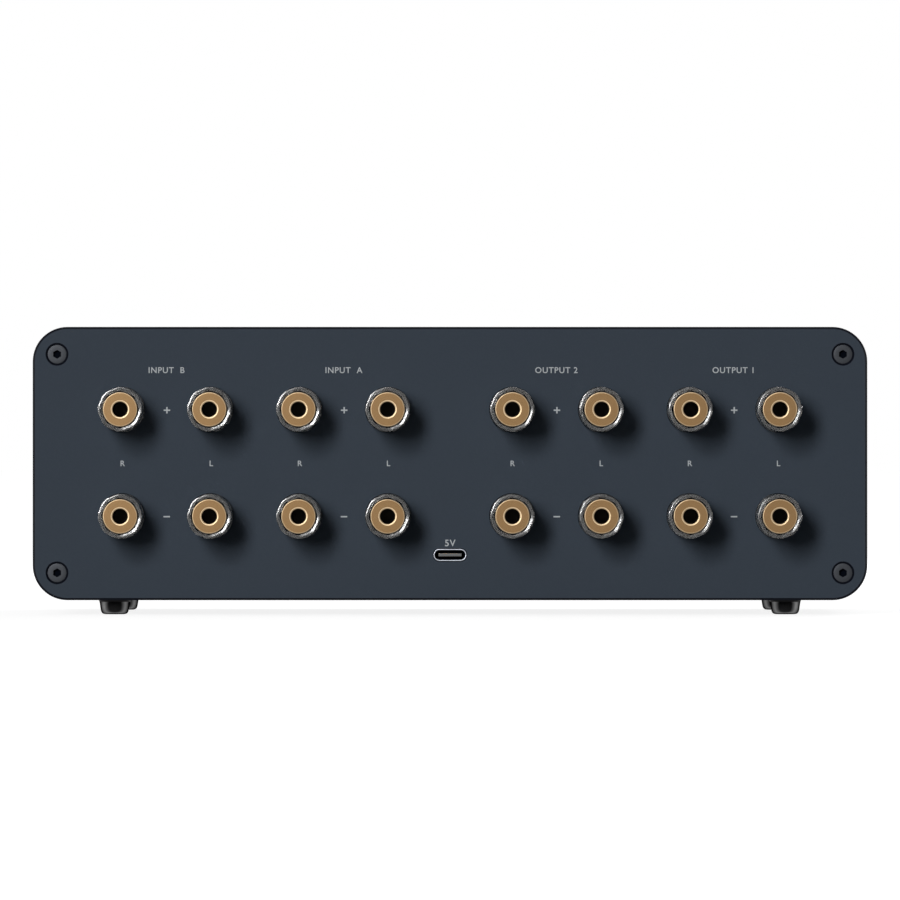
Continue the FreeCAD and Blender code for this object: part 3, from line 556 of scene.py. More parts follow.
def build_front_panel():
    """The front plate, with two bevelled windows and two holes for the selectors."""
    centre = middle("front_panel")
    place = Vector((0, FRONT_FACE, centre.z))
    depth = high("front_panel").y - FRONT_FACE
    # The rim and the walls of the windows and holes take the second finish, the painted shade of a dark
    # edge
    walls = [(panel_rim(depth), 1)] + screw_seats(depth, centre)
    pane_low, pane_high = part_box("meter_panes")
    shelf = pane_low.y - PANE_GAP - FRONT_FACE
    pane = Vector((pane_high.x - METER_X, 0, (pane_high.z - pane_low.z) / 2))
    slack = Vector((1, 0, 1)) * PANE_GAP
    for side in (-1, 1):
        rings = []
        for y, size, corner in (
            (0, WINDOW_SIZE + Vector((1, 0, 1)) * BEVEL, WINDOW_CORNER + BEVEL),
            (-BEVEL, WINDOW_SIZE, WINDOW_CORNER),
            (-shelf, WINDOW_SIZE, WINDOW_CORNER),
            (-shelf, pane + slack, REBATE_CORNER),
            (-depth, pane + slack, REBATE_CORNER),
        ):
            rings.append(round_rectangle(size.x, size.z, corner, y, 6))
        walls.append((shifted(rings, side * METER_X, 0), 1))
        hole = [circle(BUSHING_HOLE, y, 32) for y in (0, -depth)]
        walls.append((shifted(hole, side * KNOB_X, 0), 1))
    shape = Shape()
    shape.plate(walls, place, -1)
    shape.piece("front_plate", CASE, [PANEL, PANEL_PAINTED_SHADE], "panel_paint", ["front_panel"], smooth=20)


SCREW_LENGTH = 12.0 * MM
SCREW_SHANK = 1.5 * MM
HEX_FLAT = 1.0 * MM
HEX_DEPTH = 1.2 * MM
HEX_BREAK = 0.06 * MM


def build_screws():
    """Eight countersunk screws with hexagon sockets."""
    face = -SCREW_SINK
    head = SCREW_HEAD - SKIN
    cone = 1.2 * MM
    outside = rings_of(
        [
            (0.9 * MM, face - SCREW_LENGTH),
            (SCREW_SHANK, face - SCREW_LENGTH + 0.4 * MM),
            (SCREW_SHANK, face - cone),
            (head, face - 0.12 * MM),
            (head, face, 0.1 * MM),
            (1.45 * MM, face),
        ]
    )
    inside = [
        faceted(HEX_FLAT + HEX_BREAK, 6, face),
        faceted(HEX_FLAT, 6, face - HEX_BREAK),
        faceted(HEX_FLAT, 6, face - HEX_DEPTH),
        circle(0.2 * MM, face - 1.5 * MM),
    ]
    shape = Shape()
    for axis in SCREW_AXES:
        for y, facing in ((REAR_FACE, 1), (FRONT_FACE, -1)):
            shape.loft(outside + inside, Vector((axis.x, y, axis.z)), facing)
    # The hexagon sockets' walls and bottoms get painted shade
    in_socket = 1.25 * MM
    shape.paint(1, lambda own: across(own) < in_socket and own.y < face - 0.05 * MM)
    shape.piece("countersunk_screws", CASE, [SCREW, PAINTED_SHADE], "black_steel", ["panel_screws"], smooth=25)


FOOT_TOP = 4.4 * MM
FOOT_BASE = 3.5 * MM


def build_feet():
    """Four tapered rubber feet with rolled edges and a hollow underneath."""
    bottom, top = low("feet").z, high("feet").z
    case_bottom = low("housing").z
    neck = 2.0 * MM
    profile = [
        (0.4 * MM, bottom + 0.35 * MM),
        (1.5 * MM, bottom + 0.35 * MM),
        (1.8 * MM, bottom, 0.2 * MM),
        (FOOT_BASE + 0.15 * MM, bottom, 1.0 * MM, 1.4 * MM),
        (FOOT_BASE + 0.5 * MM, bottom + 2.4 * MM, 0.5 * MM),
        (FOOT_TOP - 0.25 * MM, case_bottom - 0.6 * MM, 0.4 * MM),
        (FOOT_TOP, case_bottom - 0.05 * MM, 0.15 * MM),
        (neck, case_bottom),
        (neck, case_bottom + 2.55 * MM),
        (2.7 * MM, case_bottom + 2.6 * MM),
        (neck, top),
    ]
    rings = rings_of(profile, count=48)
    shape = Shape()
    for x in (low("feet").x + FOOT_TOP, high("feet").x - FOOT_TOP):
        for y in (low("feet").y + FOOT_TOP, high("feet").y - FOOT_TOP):
            for ring in shape.loft(rings):
                for vertex in ring:
                    vertex.co = Vector((x + vertex.co.x, y + vertex.co.z, vertex.co.y))
    # The flanks get the lighter rubber with its painted sheen; the bottom round and the top flare stay
    # darker
    shape.paint(1, lambda own: bottom + 0.3 * MM < own.y < case_bottom - 0.5 * MM)
    shape.piece("rubber_feet", CASE, [RUBBER, RUBBER_PAINTED_SHEEN], "foot_rubber", ["feet"], smooth=35)


# The binding posts

STEM = 3.0 * MM
BORE = 3.05 * MM
COLLAR_HEIGHT = 3.0 * MM


def build_collars():
    """Sixteen smoky collars with rolled rims and hexagonal necks."""
    outer, neck_flat, neck_end = 6.2 * MM, 4.0 * MM, -4.2 * MM
    rings = rings_of(
        [
            (BORE, SKIN),
            (outer - 0.25 * MM, SKIN),
            (outer, 0.25 * MM),
            (outer, COLLAR_HEIGHT, 0.45 * MM),
            (BORE, COLLAR_HEIGHT),
        ]
    )
    neck = [
        faceted(neck_flat, 6, 0.0),
        faceted(neck_flat, 6, neck_end),
        circle(BORE, neck_end),
        circle(BORE, 0.0),
    ]
    shape = Shape()
    for post in POSTS:
        shape.loft(rings, post_axis(post), closed=True)
        shape.loft(neck, post_axis(post), closed=True)
    shape.piece("collar_rings", CASE, [SMOKY], "collar_plastic", ["post_collars"], smooth=35)


THREAD_PITCH = 1.0 * MM
THREAD_DEPTH = 0.16 * MM
THREAD_RINGS = 6
STEM_ROUND = 48
STEM_SOCKET = 2.0 * MM
SOCKET_DEPTH = 15.5 * MM
WIRE_HOLE = 1.5 * MM
# The radius at which a turned shape is closed on its axis
CLOSED = 0.05 * MM


def threaded(radius, y, count):
    """A ring of a right-hand thread: its radius swings as the ring goes round."""
    points = []
    for i in range(count):
        angle = TURN * i / count
        phase = (y / THREAD_PITCH - i / count) % 1
        groove = THREAD_DEPTH * abs(2 * phase - 1)
        r = radius - groove
        points.append(Vector((r * math.cos(angle), y, r * math.sin(angle))))
    return points


def cut_across(shape, radius, y):
    """The mesh of a turned shape on the origin, with a hole bored up through it at y."""
    drill = Shape()
    reach = 2 * STEM
    for ring in drill.loft([circle(radius, -reach, 32), circle(radius, reach, 32)]):
        for vertex in ring:
            vertex.co = Vector((vertex.co.x, y + vertex.co.z, vertex.co.y))
    bmesh.ops.recalc_face_normals(drill.mesh, faces=drill.mesh.faces)
    bmesh.ops.recalc_face_normals(shape.mesh, faces=shape.mesh.faces)
    holders = []
    for part in (shape, drill):
        data = bpy.data.meshes.new("blank")
        part.mesh.to_mesh(data)
        holders.append(bpy.data.objects.new("blank", data))
        bpy.context.scene.collection.objects.link(holders[-1])
    bored = holders[0].modifiers.new("bore", "BOOLEAN")
    bored.operation = "DIFFERENCE"
    bored.solver = "EXACT"
    bored.object = holders[1]
    bpy.context.view_layer.update()
    seen = holders[0].evaluated_get(bpy.context.evaluated_depsgraph_get())
    result = bpy.data.meshes.new_from_object(seen)
    for holder in holders:
        bpy.data.meshes.remove(holder.data)
    return result


def build_stems():
    """Sixteen gold stems: a flange, a thread, a plug socket and a hole across for wire."""
    tail = low("post_stems").y - REAR_FACE
    tip = high("post_stems").y - REAR_FACE
    floor = tip - SOCKET_DEPTH
    flange, flange_top = 4.4 * MM, COLLAR_HEIGHT + 1.0 * MM
    shank = rings_of(
        [
            (CLOSED, tail),
            (STEM, tail, 0.4 * MM),
            (STEM, COLLAR_HEIGHT + SKIN),
            (flange, COLLAR_HEIGHT + SKIN, 0.1 * MM),
            (flange, flange_top, 0.25 * MM),
            (STEM - THREAD_DEPTH, flange_top),
        ],
        count=STEM_ROUND,
    )
    rise = THREAD_PITCH / THREAD_RINGS
    thread_start, unthreaded = flange_top + 0.2 * MM, 1.2 * MM
    steps = round((tip - flange_top - unthreaded) / rise)
    thread = [threaded(STEM, thread_start + rise * i, STEM_ROUND) for i in range(steps)]
    end = rings_of(
        [
            (STEM - THREAD_DEPTH, tip - 0.8 * MM),
            (STEM - THREAD_DEPTH, tip, 0.25 * MM),
            (STEM_SOCKET, tip, 0.3 * MM),
            (STEM_SOCKET, floor),
            (CLOSED, floor),
        ],
        count=STEM_ROUND,
    )
    one = Shape()
    one.loft(shank + thread + end)
    bored = cut_across(one, WIRE_HOLE, flange_top + 1.85 * MM)
    shape = Shape()
    for post in POSTS:
        known = len(shape.mesh.verts)
        shape.mesh.from_mesh(bored)
        shape.mesh.verts.ensure_lookup_table()
        bmesh.ops.translate(shape.mesh, verts=shape.mesh.verts[known:], vec=post_axis(post))
    shape.own = shape.mesh.verts.layers.float_vector["own"]
    # The plug socket's wall and floor get painted shade
    inside = STEM_SOCKET + 0.05 * MM
    shape.paint(1, lambda own: across(own) < inside and own.y > floor - SKIN)
    shape.piece("threaded_stems", CASE, [GOLD, SOCKET_PAINTED_SHADE], "gold_plate", ["post_stems"], smooth=30)


SLEEVE_OUTER = 4.65 * MM
SLEEVE_MOUTH = 2.04 * MM
SLEEVE_FACE = 1.2 * MM


def build_cap_sleeve(post):
    """The gold sleeve of one cap, with a rolled mouth for the plug."""
    seat = low(f"{post}_sleeve").y - REAR_FACE
    tip = high(f"{post}_sleeve").y - REAR_FACE
    roll, depth, edge = 0.45 * MM, 0.13 * MM, 0.25 * MM
    shape = Shape()
    shape.loft(
        rings_of(
            [
                (BORE, seat),
                (SLEEVE_OUTER, seat, 0.15 * MM),
                (SLEEVE_OUTER, tip, edge),
                (SLEEVE_MOUTH, tip, roll, depth),
                (SLEEVE_MOUTH, tip - SLEEVE_FACE),
                (BORE, tip - SLEEVE_FACE),
            ],
            steps=6,
        ),
        post_axis(post),
        closed=True,
    )
    mouth, rim = SLEEVE_MOUTH + roll + SKIN, SLEEVE_OUTER - edge - SKIN
    # The rolled mouth and the outer rim get the lighter gold, a painted highlight
    shape.paint(1, lambda own: across(own) < mouth)
    shape.paint(1, lambda own: across(own) > rim and own.y > tip - edge - SKIN)
    # The bore below the mouth gets painted shade
    shape.paint(2, lambda own: own.y < tip - depth + SKIN and across(own) < BORE + SKIN)
    shape.piece(
        f"{post}_gold_sleeve",
        f"{post}_travel",
        [GOLD, GOLD_PAINTED_HIGHLIGHT, SOCKET_PAINTED_SHADE],
        "gold_plate",
        [f"{post}_sleeve"],
        smooth=35,
    )


GRIP_SIDES = 8
GRIP_STEP = TURN / GRIP_SIDES
GRIP_BORE = 4.72 * MM
GRIP_FLAT = 5.88 * MM
GRIP_LAND = 0.14 * MM
RECESS = 4.78 * MM
RECESS_DEPTH = 0.9 * MM
GRIP_ROUND = 96
ROUND_GROWTH = 0.08
LIP_CREST = 5.45 * MM
LIP_LEVEL = 0.05 * MM
LIP_SLOPE = 0.105
LIP_DISH = 0.03
# The lip's rings, by the distance of their flats in millimetres
LIP_FLATS = [4.78, 5.0, 5.2, 5.4, 5.5, 5.65, 5.78]


def lip_drop(flat):
    """How far the front of a grip lies below its crest; it gets steeper away from the crest."""
    away = max(0.0, abs(flat - LIP_CREST) - LIP_LEVEL)
    return away * (LIP_SLOPE + away / MM * LIP_DISH)


def grip_ring(y, flat):
    """An eight-sided ring; the rounds between its flats widen towards the outside."""
    corner = flat + GRIP_LAND + (GRIP_FLAT - flat) * ROUND_GROWTH
    return faceted(flat, GRIP_SIDES, y, corner, GRIP_ROUND, GRIP_STEP / 2)


def build_cap_grip(post):
    """The clear grip of one cap: eight flats, a sloping lip and an eight-sided recess in it."""
    start = low(f"{post}_grip").y - REAR_FACE
    end = high(f"{post}_grip").y - REAR_FACE
    floor = end - RECESS_DEPTH
    rings = [circle(GRIP_BORE, y, GRIP_ROUND) for y in (start, floor)]
    rings.append(grip_ring(floor, RECESS))
    rings += [grip_ring(end - lip_drop(flat * MM), flat * MM) for flat in LIP_FLATS]
    for depth, inset in ((0.09, 0.06), (0.16, 0.02), (0.3, 0.0)):
        rings.append(grip_ring(end - depth * MM, GRIP_FLAT - inset * MM))
    for height, inset in ((0.2, 0.0), (0.06, 0.05), (0.0, 0.15)):
        rings.append(grip_ring(start + height * MM, GRIP_FLAT - inset * MM))
    shape = Shape()
    shape.loft(rings, post_axis(post), closed=True)
    # The floor of the recess gets painted shade, a dark line round the gold
    shape.paint(1, lambda own: abs(own.y - floor) < SKIN)
    shape.piece(
        f"{post}_clear_grip",
        f"{post}_turn",
        [CLEAR, PAINTED_SHADE],
        "clear_plastic",
        [f"{post}_grip"],
        smooth=4,
    )


# The inlet

SHELL_WALL = 0.3 * MM
BLADE = Vector((3.15, 0, 0.4)) * MM
CONTACTS = 12
CONTACT_SPACING = 0.5 * MM
CONTACT = Vector((0.13, 0, 0.04)) * MM


def build_inlet():
    """The inlet's rolled shell, and its tongue with twelve contacts on each side."""
    shell_low, shell_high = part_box("inlet_shell")
    half = (shell_high - shell_low) / 2
    centre = Vector((0, REAR_FACE, middle("inlet_shell").z))
    wall, depth = SHELL_WALL, shell_high.y - shell_low.y
    lip = 0.07 * MM

    def ring(inset, y):
        return round_rectangle(half.x - inset, half.z - inset, half.z - inset - HAIR, y, 10)

    shape = Shape()
    shape.loft(
        [
            ring(0, -depth),
            ring(0, -lip),
            ring(lip * 0.3, -lip * 0.3),
            ring(lip, 0),
            ring(wall - lip, 0),
            ring(wall - lip * 0.3, -lip * 0.3),
            ring(wall, -lip),
            ring(wall, -depth),
        ],
        centre,
        closed=True,
    )
    # The shell's inside walls get painted shade
    shape.paint(1, lambda own: own.y < -lip / 2)
    shape.piece("inlet_mouth", CASE, [NICKEL, PAINTED_SHADE], "tinned_steel", ["inlet_shell"], smooth=35)

    tongue_low, tongue_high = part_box("inlet_tongue")
    base_end = tongue_low.y + 2.0 * MM
    shape = Shape()
    inset = wall + 0.05 * MM
    base_round = half.z - wall - 0.06 * MM
    base = [
        round_rectangle(half.x - inset, half.z - inset, base_round, y, 10)
        for y in (tongue_low.y - REAR_FACE, base_end - REAR_FACE)
    ]
    # The tongue's base, deep in the shell, gets painted shade
    shape.loft(base, centre, finish_index=2)
    shape.box(
        Vector((-BLADE.x, base_end, centre.z - BLADE.z)),
        Vector((BLADE.x, tongue_high.y, centre.z + BLADE.z)),
        bevel=0.1 * MM,
    )
    for side in (-1, 1):
        for number in range(CONTACTS):
            x = (number - (CONTACTS - 1) / 2) * CONTACT_SPACING
            inner = centre.z + side * BLADE.z
            outer = inner + side * CONTACT.z
            shape.box(
                Vector((x - CONTACT.x, base_end + 0.3 * MM, min(inner, outer))),
                Vector((x + CONTACT.x, tongue_high.y - 0.45 * MM, max(inner, outer))),
                bevel=0.01 * MM,
                finish_index=1,
            )
    finishes = [TONGUE, GOLD, PAINTED_SHADE]
    shape.piece("inlet_blade", CASE, finishes, "tongue_plastic", ["inlet_tongue"], smooth=30)


# Printed marks

PRINT = 0.02 * MM


def lettering(words, size, spot, outwards):
    """A line of type centred on a spot; outwards is 1 on the back and -1 on the front."""
    curve = bpy.data.curves.new("type", "FONT")
    curve.body = words
    curve.size = size
    curve.align_x = "CENTER"
    curve.align_y = "CENTER"
    curve.extrude = PRINT / 2
    curve.offset = size * 0.012
    curve.resolution_u = 4
    curve.space_character = 1.12
    holder = bpy.data.objects.new("type", curve)
    bpy.context.scene.collection.objects.link(holder)
    bpy.context.view_layer.update()
    data = bpy.data.meshes.new_from_object(holder)
    bpy.data.objects.remove(holder)
    axes = Matrix(((-outwards, 0, 0), (0, 0, outwards), (0, 1, 0))).to_4x4()
    data.transform(Matrix.Translation(spot) @ axes)
    return data


def printed(name, body, lines, material, outwards):
    """One piece from many lines of type, each its words, size, x, y and z."""
    mesh = bmesh.new()
    for words, size, x, y, z in lines:
        data = lettering(words, size, Vector((x, y, z)), outwards)
        mesh.from_mesh(data)
        bpy.data.meshes.remove(data)
    data = bpy.data.meshes.new(name)
    mesh.to_mesh(data)
    mesh.free()
    data.materials.append(material)
    piece = bpy.data.objects.new(name, data)
    bpy.context.scene.collection.objects.link(piece)
    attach(piece, body)


def between(first, second):
    return (post_axis(first) + post_axis(second)) / 2


SIGN_WIDTH = 1.75 * MM
SIGN_STROKE = 0.38 * MM
LETTER_SIZE = 2.12 * MM
TITLE_SIZE = 2.25 * MM
INLET_TITLE_SIZE = 2.5 * MM
TITLE_RISE = 10.6 * MM
INLET_TITLE_RISE = 3.15 * MM
# How far the photograph's signs and letters stand off the middles between the posts
PLUS_OFFSET = Vector((0.15, 0, 0.16)) * MM
MINUS_OFFSET = Vector((0.1, 0, 0.18)) * MM
LETTER_OFFSET_X = 0.1 * MM
LETTER_OFFSET_Z = 0.24 * MM


def printed_bar(shape, spot, width, height):
    """A bar of ink on the rear panel, over a spot."""
    half = Vector((width / 2, 0, height / 2))
    thick = Vector((0, PRINT / 2, 0))
    flat = Vector((spot.x, REAR_FACE + PRINT / 2, spot.z))
    shape.box(flat - half - thick, flat + half + thick)


def build_rear_print():
    """Channel letters, signs and plain titles on the back."""
    y = REAR_FACE + PRINT / 2
    lines = []
    groups = {"amp_b": "INPUT  B", "amp_a": "INPUT  A", "speaker_2": "OUTPUT 2", "speaker_1": "OUTPUT 1"}
    signs = Shape()
    for group, words in groups.items():
        upper = between(f"{group}_left_plus", f"{group}_right_plus")
        lower = between(f"{group}_left_minus", f"{group}_right_minus")
        lines.append((words, TITLE_SIZE, upper.x, y, upper.z + TITLE_RISE))
        place = upper - PLUS_OFFSET
        printed_bar(signs, place, SIGN_WIDTH, SIGN_STROKE)
        for side in (-1, 1):
            stub = place + Vector((0, 0, side * (SIGN_WIDTH + SIGN_STROKE) / 4))
            printed_bar(signs, stub, SIGN_STROKE, (SIGN_WIDTH - SIGN_STROKE) / 2)
        printed_bar(signs, lower - MINUS_OFFSET, SIGN_WIDTH, SIGN_STROKE)
        for channel, letter in (("left", "L"), ("right", "R")):
            x = post_axis(f"{group}_{channel}_plus").x - LETTER_OFFSET_X
            z = (upper.z + lower.z) / 2 - LETTER_OFFSET_Z
            lines.append((letter, LETTER_SIZE, x, y, z))
    lines.append(("5V", INLET_TITLE_SIZE, 0, y, middle("inlet_shell").z + INLET_TITLE_RISE))
    printed("rear_marks", CASE, lines, INK, 1)
    signs.piece("rear_signs", CASE, [INK], "panel_paint")


# The front

def build_front_print():
    """Plain letters and numbers round the two selectors."""
    y = FRONT_FACE - PRINT / 2
    size, reach = 3.0 * MM, 16.5 * MM
    lines = []
    for knob, marks in (
        ("amplifier_knob", ((-30, "A"), (30, "B"))),
        ("speaker_knob", ((-45, "1"), (0, "1+2"), (45, "2"))),
    ):
        centre = middle(knob)
        for angle, words in marks:
            x = centre.x + reach * math.sin(math.radians(angle))
            z = centre.z + reach * math.cos(math.radians(angle))
            lines.append((words, size, x, y, z))
    printed("front_marks", CASE, lines, INK, -1)


FLUTES = 48
FLUTE_DEPTH = 0.35 * MM
KNOB_RADIUS = 12.0 * MM
KNOB_BORE = 3.05 * MM
BORE_DEPTH = 10.9 * MM
SKIRT_RADIUS = 8.5 * MM
SKIRT_DEPTH = 3.5 * MM
FACE_SINK = 0.25 * MM


def build_knob(name, rest_angle):
    """A selector knob: turned face, chamfer, fine flutes and a white line."""
    body = f"{name}_selector"
    centre = middle(f"{name}_knob")
    front = low(f"{name}_knob").y
    back = high(f"{name}_knob").y
    radius = KNOB_RADIUS
    count = FLUTES * 4
    gap = FRONT_FACE - back

    def side(y, depth):
        points = []
        for i in range(count):
            flute = depth * (0.5 - 0.5 * math.cos(TURN * FLUTES * i / count))
            r = radius - flute
            points.append(Vector((r * math.cos(TURN * i / count), y, r * math.sin(TURN * i / count))))
        return points

    face = gap + back - front
    rings = [
        circle(KNOB_BORE, gap + BORE_DEPTH, count),
        circle(KNOB_BORE, gap + SKIRT_DEPTH, count),
        circle(SKIRT_RADIUS, gap + SKIRT_DEPTH, count),
        circle(SKIRT_RADIUS, gap, count),
        circle(radius - 0.2 * MM, gap, count),
        side(gap + 0.2 * MM, 0),
        side(gap + 2.0 * MM, 0),
        side(gap + 2.4 * MM, FLUTE_DEPTH),
        side(face - 2.2 * MM, FLUTE_DEPTH),
        side(face - 1.8 * MM, 0),
        side(face - 0.8 * MM, 0),
        circle(radius - 0.8 * MM, face, count),
        circle(radius - 1.4 * MM, face, count),
        circle(radius - 1.7 * MM, face - FACE_SINK, count),
        circle(CLOSED, face - FACE_SINK, count),
    ]
    shape = Shape()
    place = Vector((centre.x, FRONT_FACE, centre.z))
    shape.loft(rings, place, -1)
    knob = f"{name}_fluted_knob"
    shape.piece(knob, body, [KNOB], "knob_aluminium", [f"{name}_knob"], smooth=30)

    line = Shape()
    line.box(
        Vector((-0.5 * MM, face - 0.3 * MM, 4.5 * MM)),
        Vector((0.5 * MM, face - 0.2 * MM, 10.2 * MM)),
        0.02 * MM,
    )
    turn = Matrix.Rotation(math.radians(rest_angle), 4, "Y")
    for vertex in line.mesh.verts:
        vertex.co.y = -vertex.co.y
        vertex.co = place + turn @ vertex.co
    line.piece(f"{name}_pointer", body, [WHITE_LINE], "knob_aluminium")


# Degrees: the scale's reach to either side of upright, and half a tick's width
SCALE_REACH = 42
TICK_HALF = 0.35
SCALE_RADIUS = 21.5 * MM
TICK_LENGTH = 2.0 * MM
NUMBER_REACH = 3.8 * MM


def arc_band(shape, centre, inner, outer, start, end, y, finish_index, steps=48):
    """A flat band round a meter's pivot, between two angles from upright."""
    previous = None
    for step in range(steps + 1):
        angle = math.radians(start + (end - start) * step / steps)
        pair = []
        for radius in (inner, outer):
            spot = centre + Vector((radius * math.sin(angle), 0, radius * math.cos(angle)))
            vertex = shape.mesh.verts.new((spot.x, y, spot.z))
            pair.append(vertex)
        if previous:
            face = shape.mesh.faces.new((previous[0], pair[0], pair[1], previous[1]))
            face.material_index = finish_index
        previous = pair


# Each mark's share of the way along the scale
DECIBELS = {
    -20: 0.0, -10: 0.17, -7: 0.27, -5: 0.37, -3: 0.48, -2: 0.55, -1: 0.63, 0: 0.71, 1: 0.80, 2: 0.90, 3: 1.0
}


def build_dial_print(side):
    """A meter's printed scale: an arc, its red end, ticks and numbers."""
    y = low("meter_dials").y - PRINT / 2
    pivot = Vector((side * METER_X, y, middle("meter_movements").z))
    name = "left" if side < 0 else "right"
    shape = Shape()
    span = 2 * SCALE_REACH
    zero = -SCALE_REACH + span * DECIBELS[0]
    arc_band(shape, pivot, SCALE_RADIUS, SCALE_RADIUS + 0.25 * MM, -SCALE_REACH, zero, y, 0)
    arc_band(shape, pivot, SCALE_RADIUS, SCALE_RADIUS + 1.1 * MM, zero, SCALE_REACH, y, 1)
    numbers = {0: [], 1: []}
    for decibel, share in DECIBELS.items():
        angle = -SCALE_REACH + span * share
        ink = 1 if decibel > 0 else 0
        start, end = angle - TICK_HALF, angle + TICK_HALF
        arc_band(shape, pivot, SCALE_RADIUS, SCALE_RADIUS + TICK_LENGTH, start, end, y, ink, 1)
        reach = SCALE_RADIUS + NUMBER_REACH
        x = pivot.x + reach * math.sin(math.radians(angle))
        z = pivot.z + reach * math.cos(math.radians(angle))
        numbers[ink].append((str(abs(decibel)), 2.1 * MM, x, y, z))
    shape.piece(f"{name}_scale", CASE, [DIAL_INK, DIAL_RED], "dial_paint")
    numbers[0].append(("dB", 3.4 * MM, pivot.x, y, pivot.z + 12.5 * MM))
    printed(f"{name}_scale_numbers", CASE, numbers[0], DIAL_INK, -1)
    printed(f"{name}_scale_red_numbers", CASE, numbers[1], DIAL_RED, -1)


# Pieces that keep their solids get a finish of their own

SOFT_ANGLE = math.radians(35)


def dress(node, material, bevel=0.0):
    """A CAD node's own mesh with another finish and softened edges."""
    thing = NODES[node]
    thing.data.materials.clear()
    thing.data.materials.append(material)
    weld = thing.modifiers.new("weld", "WELD")
    weld.merge_threshold = 1e-6
    if bevel:
        soft = thing.modifiers.new("soft edges", "BEVEL")
        soft.width = bevel
        soft.segments = 2
        soft.limit_method = "ANGLE"
        soft.angle_limit = SOFT_ANGLE


def dress_the_rest():
    """The pieces whose own solids are their visible shape."""
    dress("housing", SLEEVE, 0.25 * MM)
    for node in ("post_fixing_nuts", "amplifier_shaft", "speaker_shaft"):
        dress(node, BRASS, 0.1 * MM)
    for node in ("rear_board", "front_board", "inlet_board"):
        dress(node, BOARD)
    for node in ("relays", "ribbon_plugs", "meter_cases"):
        dress(node, BLACK_PLASTIC, 0.2 * MM)
    dress("ribbon_cable", GREY_PLASTIC)
    dress("meter_panes", PANE, 0.15 * MM)
    dress("meter_dials", CARD)
    dress("meter_movements", IRON, 0.2 * MM)
    for node in ("left_needle", "right_needle"):
        dress(node, NEEDLE)
    for node in ("selector_switches", "bushing_nuts"):
        dress(node, STEEL, 0.15 * MM)


# Floor, light and camera

PHOTO_PIXELS = 900
PANEL_PIXELS = 834.7
PANEL_TOP_PIXEL = 326.6
PANEL_BOTTOM_PIXEL = 600.5
CAMERA_DISTANCE = 3.4
SENSOR = 36.0
# The white surround's strength as a light; to the eye and in mirrors it is 1
SURROUND_LIGHT = 0.01
FLOOR_GREY = 0.3
FLOOR_SIZE = 20.0
# The floor's glow near the object, and the distances from which and by which it fades to white
NEAR_GLOW = 0.86
GLOW_START = 0.3
GLOW_END = 1.0


def see_through_path(tree):
    """1 for rays from the camera, mirrors and glass, else 0."""
    path = add_node(tree, "ShaderNodeLightPath").outputs
    both = maths(tree, "MAXIMUM", path["Is Camera Ray"], path["Is Glossy Ray"])
    return maths(tree, "MAXIMUM", both, path["Is Transmission Ray"])


def build_world():
    """A white surround to look at, which lights the object only softly."""
    world = bpy.data.worlds.new("white_surround")
    bpy.context.scene.world = world
    world.use_nodes = True
    tree = world.node_tree
    background = tree.nodes["Background"]
    background.inputs["Color"].default_value = (1, 1, 1, 1)
    seen = see_through_path(tree)
    strength = add_node(
        tree, "ShaderNodeMapRange", {"Value": seen, "To Min": SURROUND_LIGHT, "To Max": 1.0}
    )
    tree.links.new(strength.outputs["Result"], background.inputs["Strength"])


def build_floor():
    """A pale floor that keeps the object's shadow and otherwise looks white."""
    mesh = bmesh.new()
    bmesh.ops.create_grid(mesh, x_segments=1, y_segments=1, size=FLOOR_SIZE)
    data = bpy.data.meshes.new("floor")
    mesh.to_mesh(data)
    mesh.free()
    floor = bpy.data.objects.new("floor", data)
    bpy.context.scene.collection.objects.link(floor)
    material = bpy.data.materials.new("pale_floor")
    material.use_nodes = True
    tree = material.node_tree
    shader = tree.nodes["Principled BSDF"]
    shader.inputs["Base Color"].default_value = (FLOOR_GREY, FLOOR_GREY, FLOOR_GREY, 1)
    shader.inputs["Roughness"].default_value = 0.9
    shader.inputs["Specular IOR Level"].default_value = 0.0
    shader.inputs["Emission Color"].default_value = (1, 1, 1, 1)
    spot = add_node(tree, "ShaderNodeTexCoord").outputs["Object"]
    away = add_node(tree, "ShaderNodeVectorMath", {0: spot}, operation="LENGTH").outputs["Value"]
    fade = {"Value": away, "From Min": GLOW_START, "From Max": GLOW_END}
    fade.update({"To Min": NEAR_GLOW, "To Max": 1.0})
    glow = add_node(
        tree, "ShaderNodeMapRange", fade, interpolation_type="SMOOTHSTEP"
    ).outputs["Result"]
    strength = maths(tree, "MULTIPLY", see_through_path(tree), glow)
    tree.links.new(strength, shader.inputs["Emission Strength"])
    data.materials.append(material)


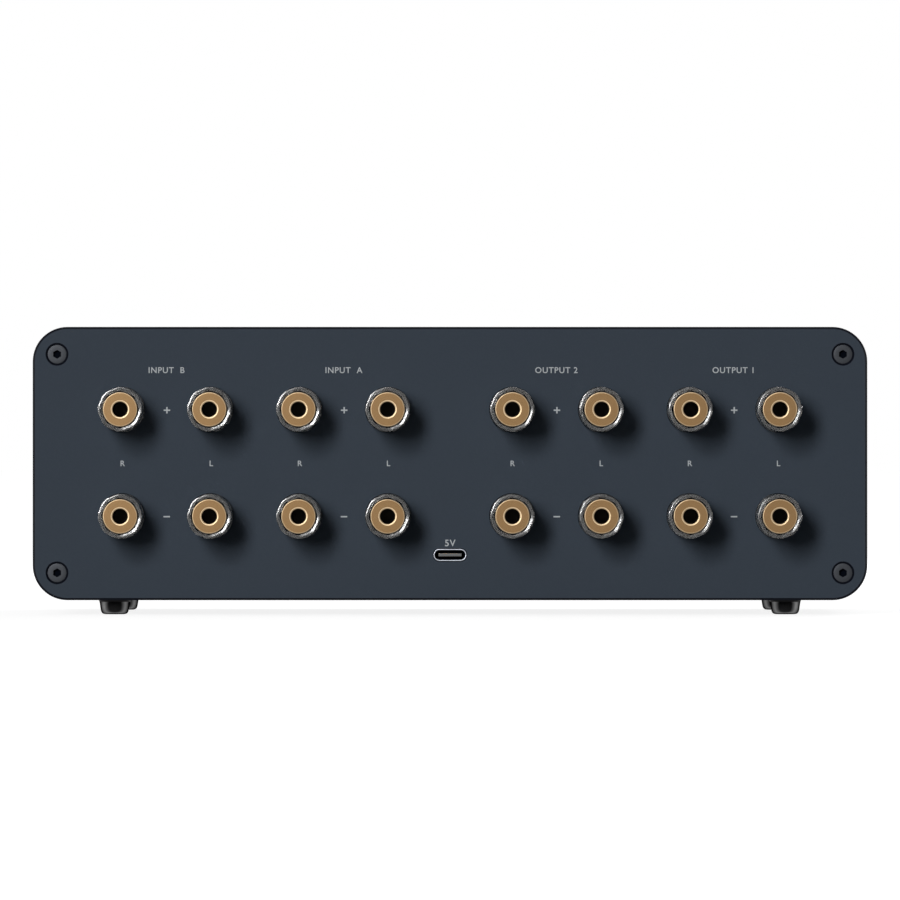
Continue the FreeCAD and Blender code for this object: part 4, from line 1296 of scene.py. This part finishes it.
def add_lamp(name, spot, aim, width, height, power):
    """A soft rectangular light that isn't itself in the picture."""
    light = bpy.data.lights.new(name, "AREA")
    light.shape = "RECTANGLE"
    light.size = width
    light.size_y = height
    light.energy = power
    lamp = bpy.data.objects.new(name, light)
    lamp.location = spot
    lamp.rotation_euler = (Vector(spot) - Vector(aim)).to_track_quat("Z", "Y").to_euler()
    lamp.visible_camera = False
    bpy.context.scene.collection.objects.link(lamp)


AIM = (0, 0, 0.04)
# Name, place, width, height and watts of each lamp
LAMPS = (
    ("key", (0.79, 3.06, 0.75), 0.58, 1.1, 92),
    ("front_key", (-0.6, -1.3, 0.7), 0.7, 0.7, 14),
    ("top", (0, -0.4, 1.6), 0.8, 0.8, 4),
    ("strip", (-1.1, -0.3, 0.12), 0.35, 0.35, 6),
    ("strip", (1.1, -0.3, 0.12), 0.35, 0.35, 6),
)


def build_lamps():
    """A tall key light by the camera's left shoulder, and others in front, above and beside."""
    for name, spot, width, height, power in LAMPS:
        add_lamp(name, spot, AIM, width, height, power)


def build_camera():
    """A level camera far behind the object, framed as the photograph is."""
    panel_low, panel_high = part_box("rear_panel")
    pixel = (panel_high.x - panel_low.x) / PANEL_PIXELS
    panel_middle_pixel = (PANEL_TOP_PIXEL + PANEL_BOTTOM_PIXEL) / 2
    height = middle("rear_panel").z + (panel_middle_pixel - PHOTO_PIXELS / 2) * pixel
    data = bpy.data.cameras.new("camera")
    data.sensor_width = SENSOR
    data.lens = SENSOR * CAMERA_DISTANCE / (PHOTO_PIXELS * pixel)
    data.clip_start = 0.05
    data.clip_end = 100
    camera = bpy.data.objects.new("camera", data)
    camera.location = (0, REAR_FACE + CAMERA_DISTANCE, height)
    camera.rotation_euler = (math.radians(90), 0, math.radians(180))
    bpy.context.scene.collection.objects.link(camera)
    bpy.context.scene.camera = camera


build_rear_panel()
build_front_panel()
build_screws()
build_feet()
build_collars()
build_stems()
for post in POSTS:
    build_cap_sleeve(post)
    build_cap_grip(post)
build_inlet()
build_rear_print()
build_front_print()
build_knob("amplifier", -30)
build_knob("speaker", 0)
build_dial_print(-1)
build_dial_print(1)
dress_the_rest()
build_world()
build_floor()
build_lamps()
build_camera()
bpy.context.scene.view_settings.view_transform = "Standard"
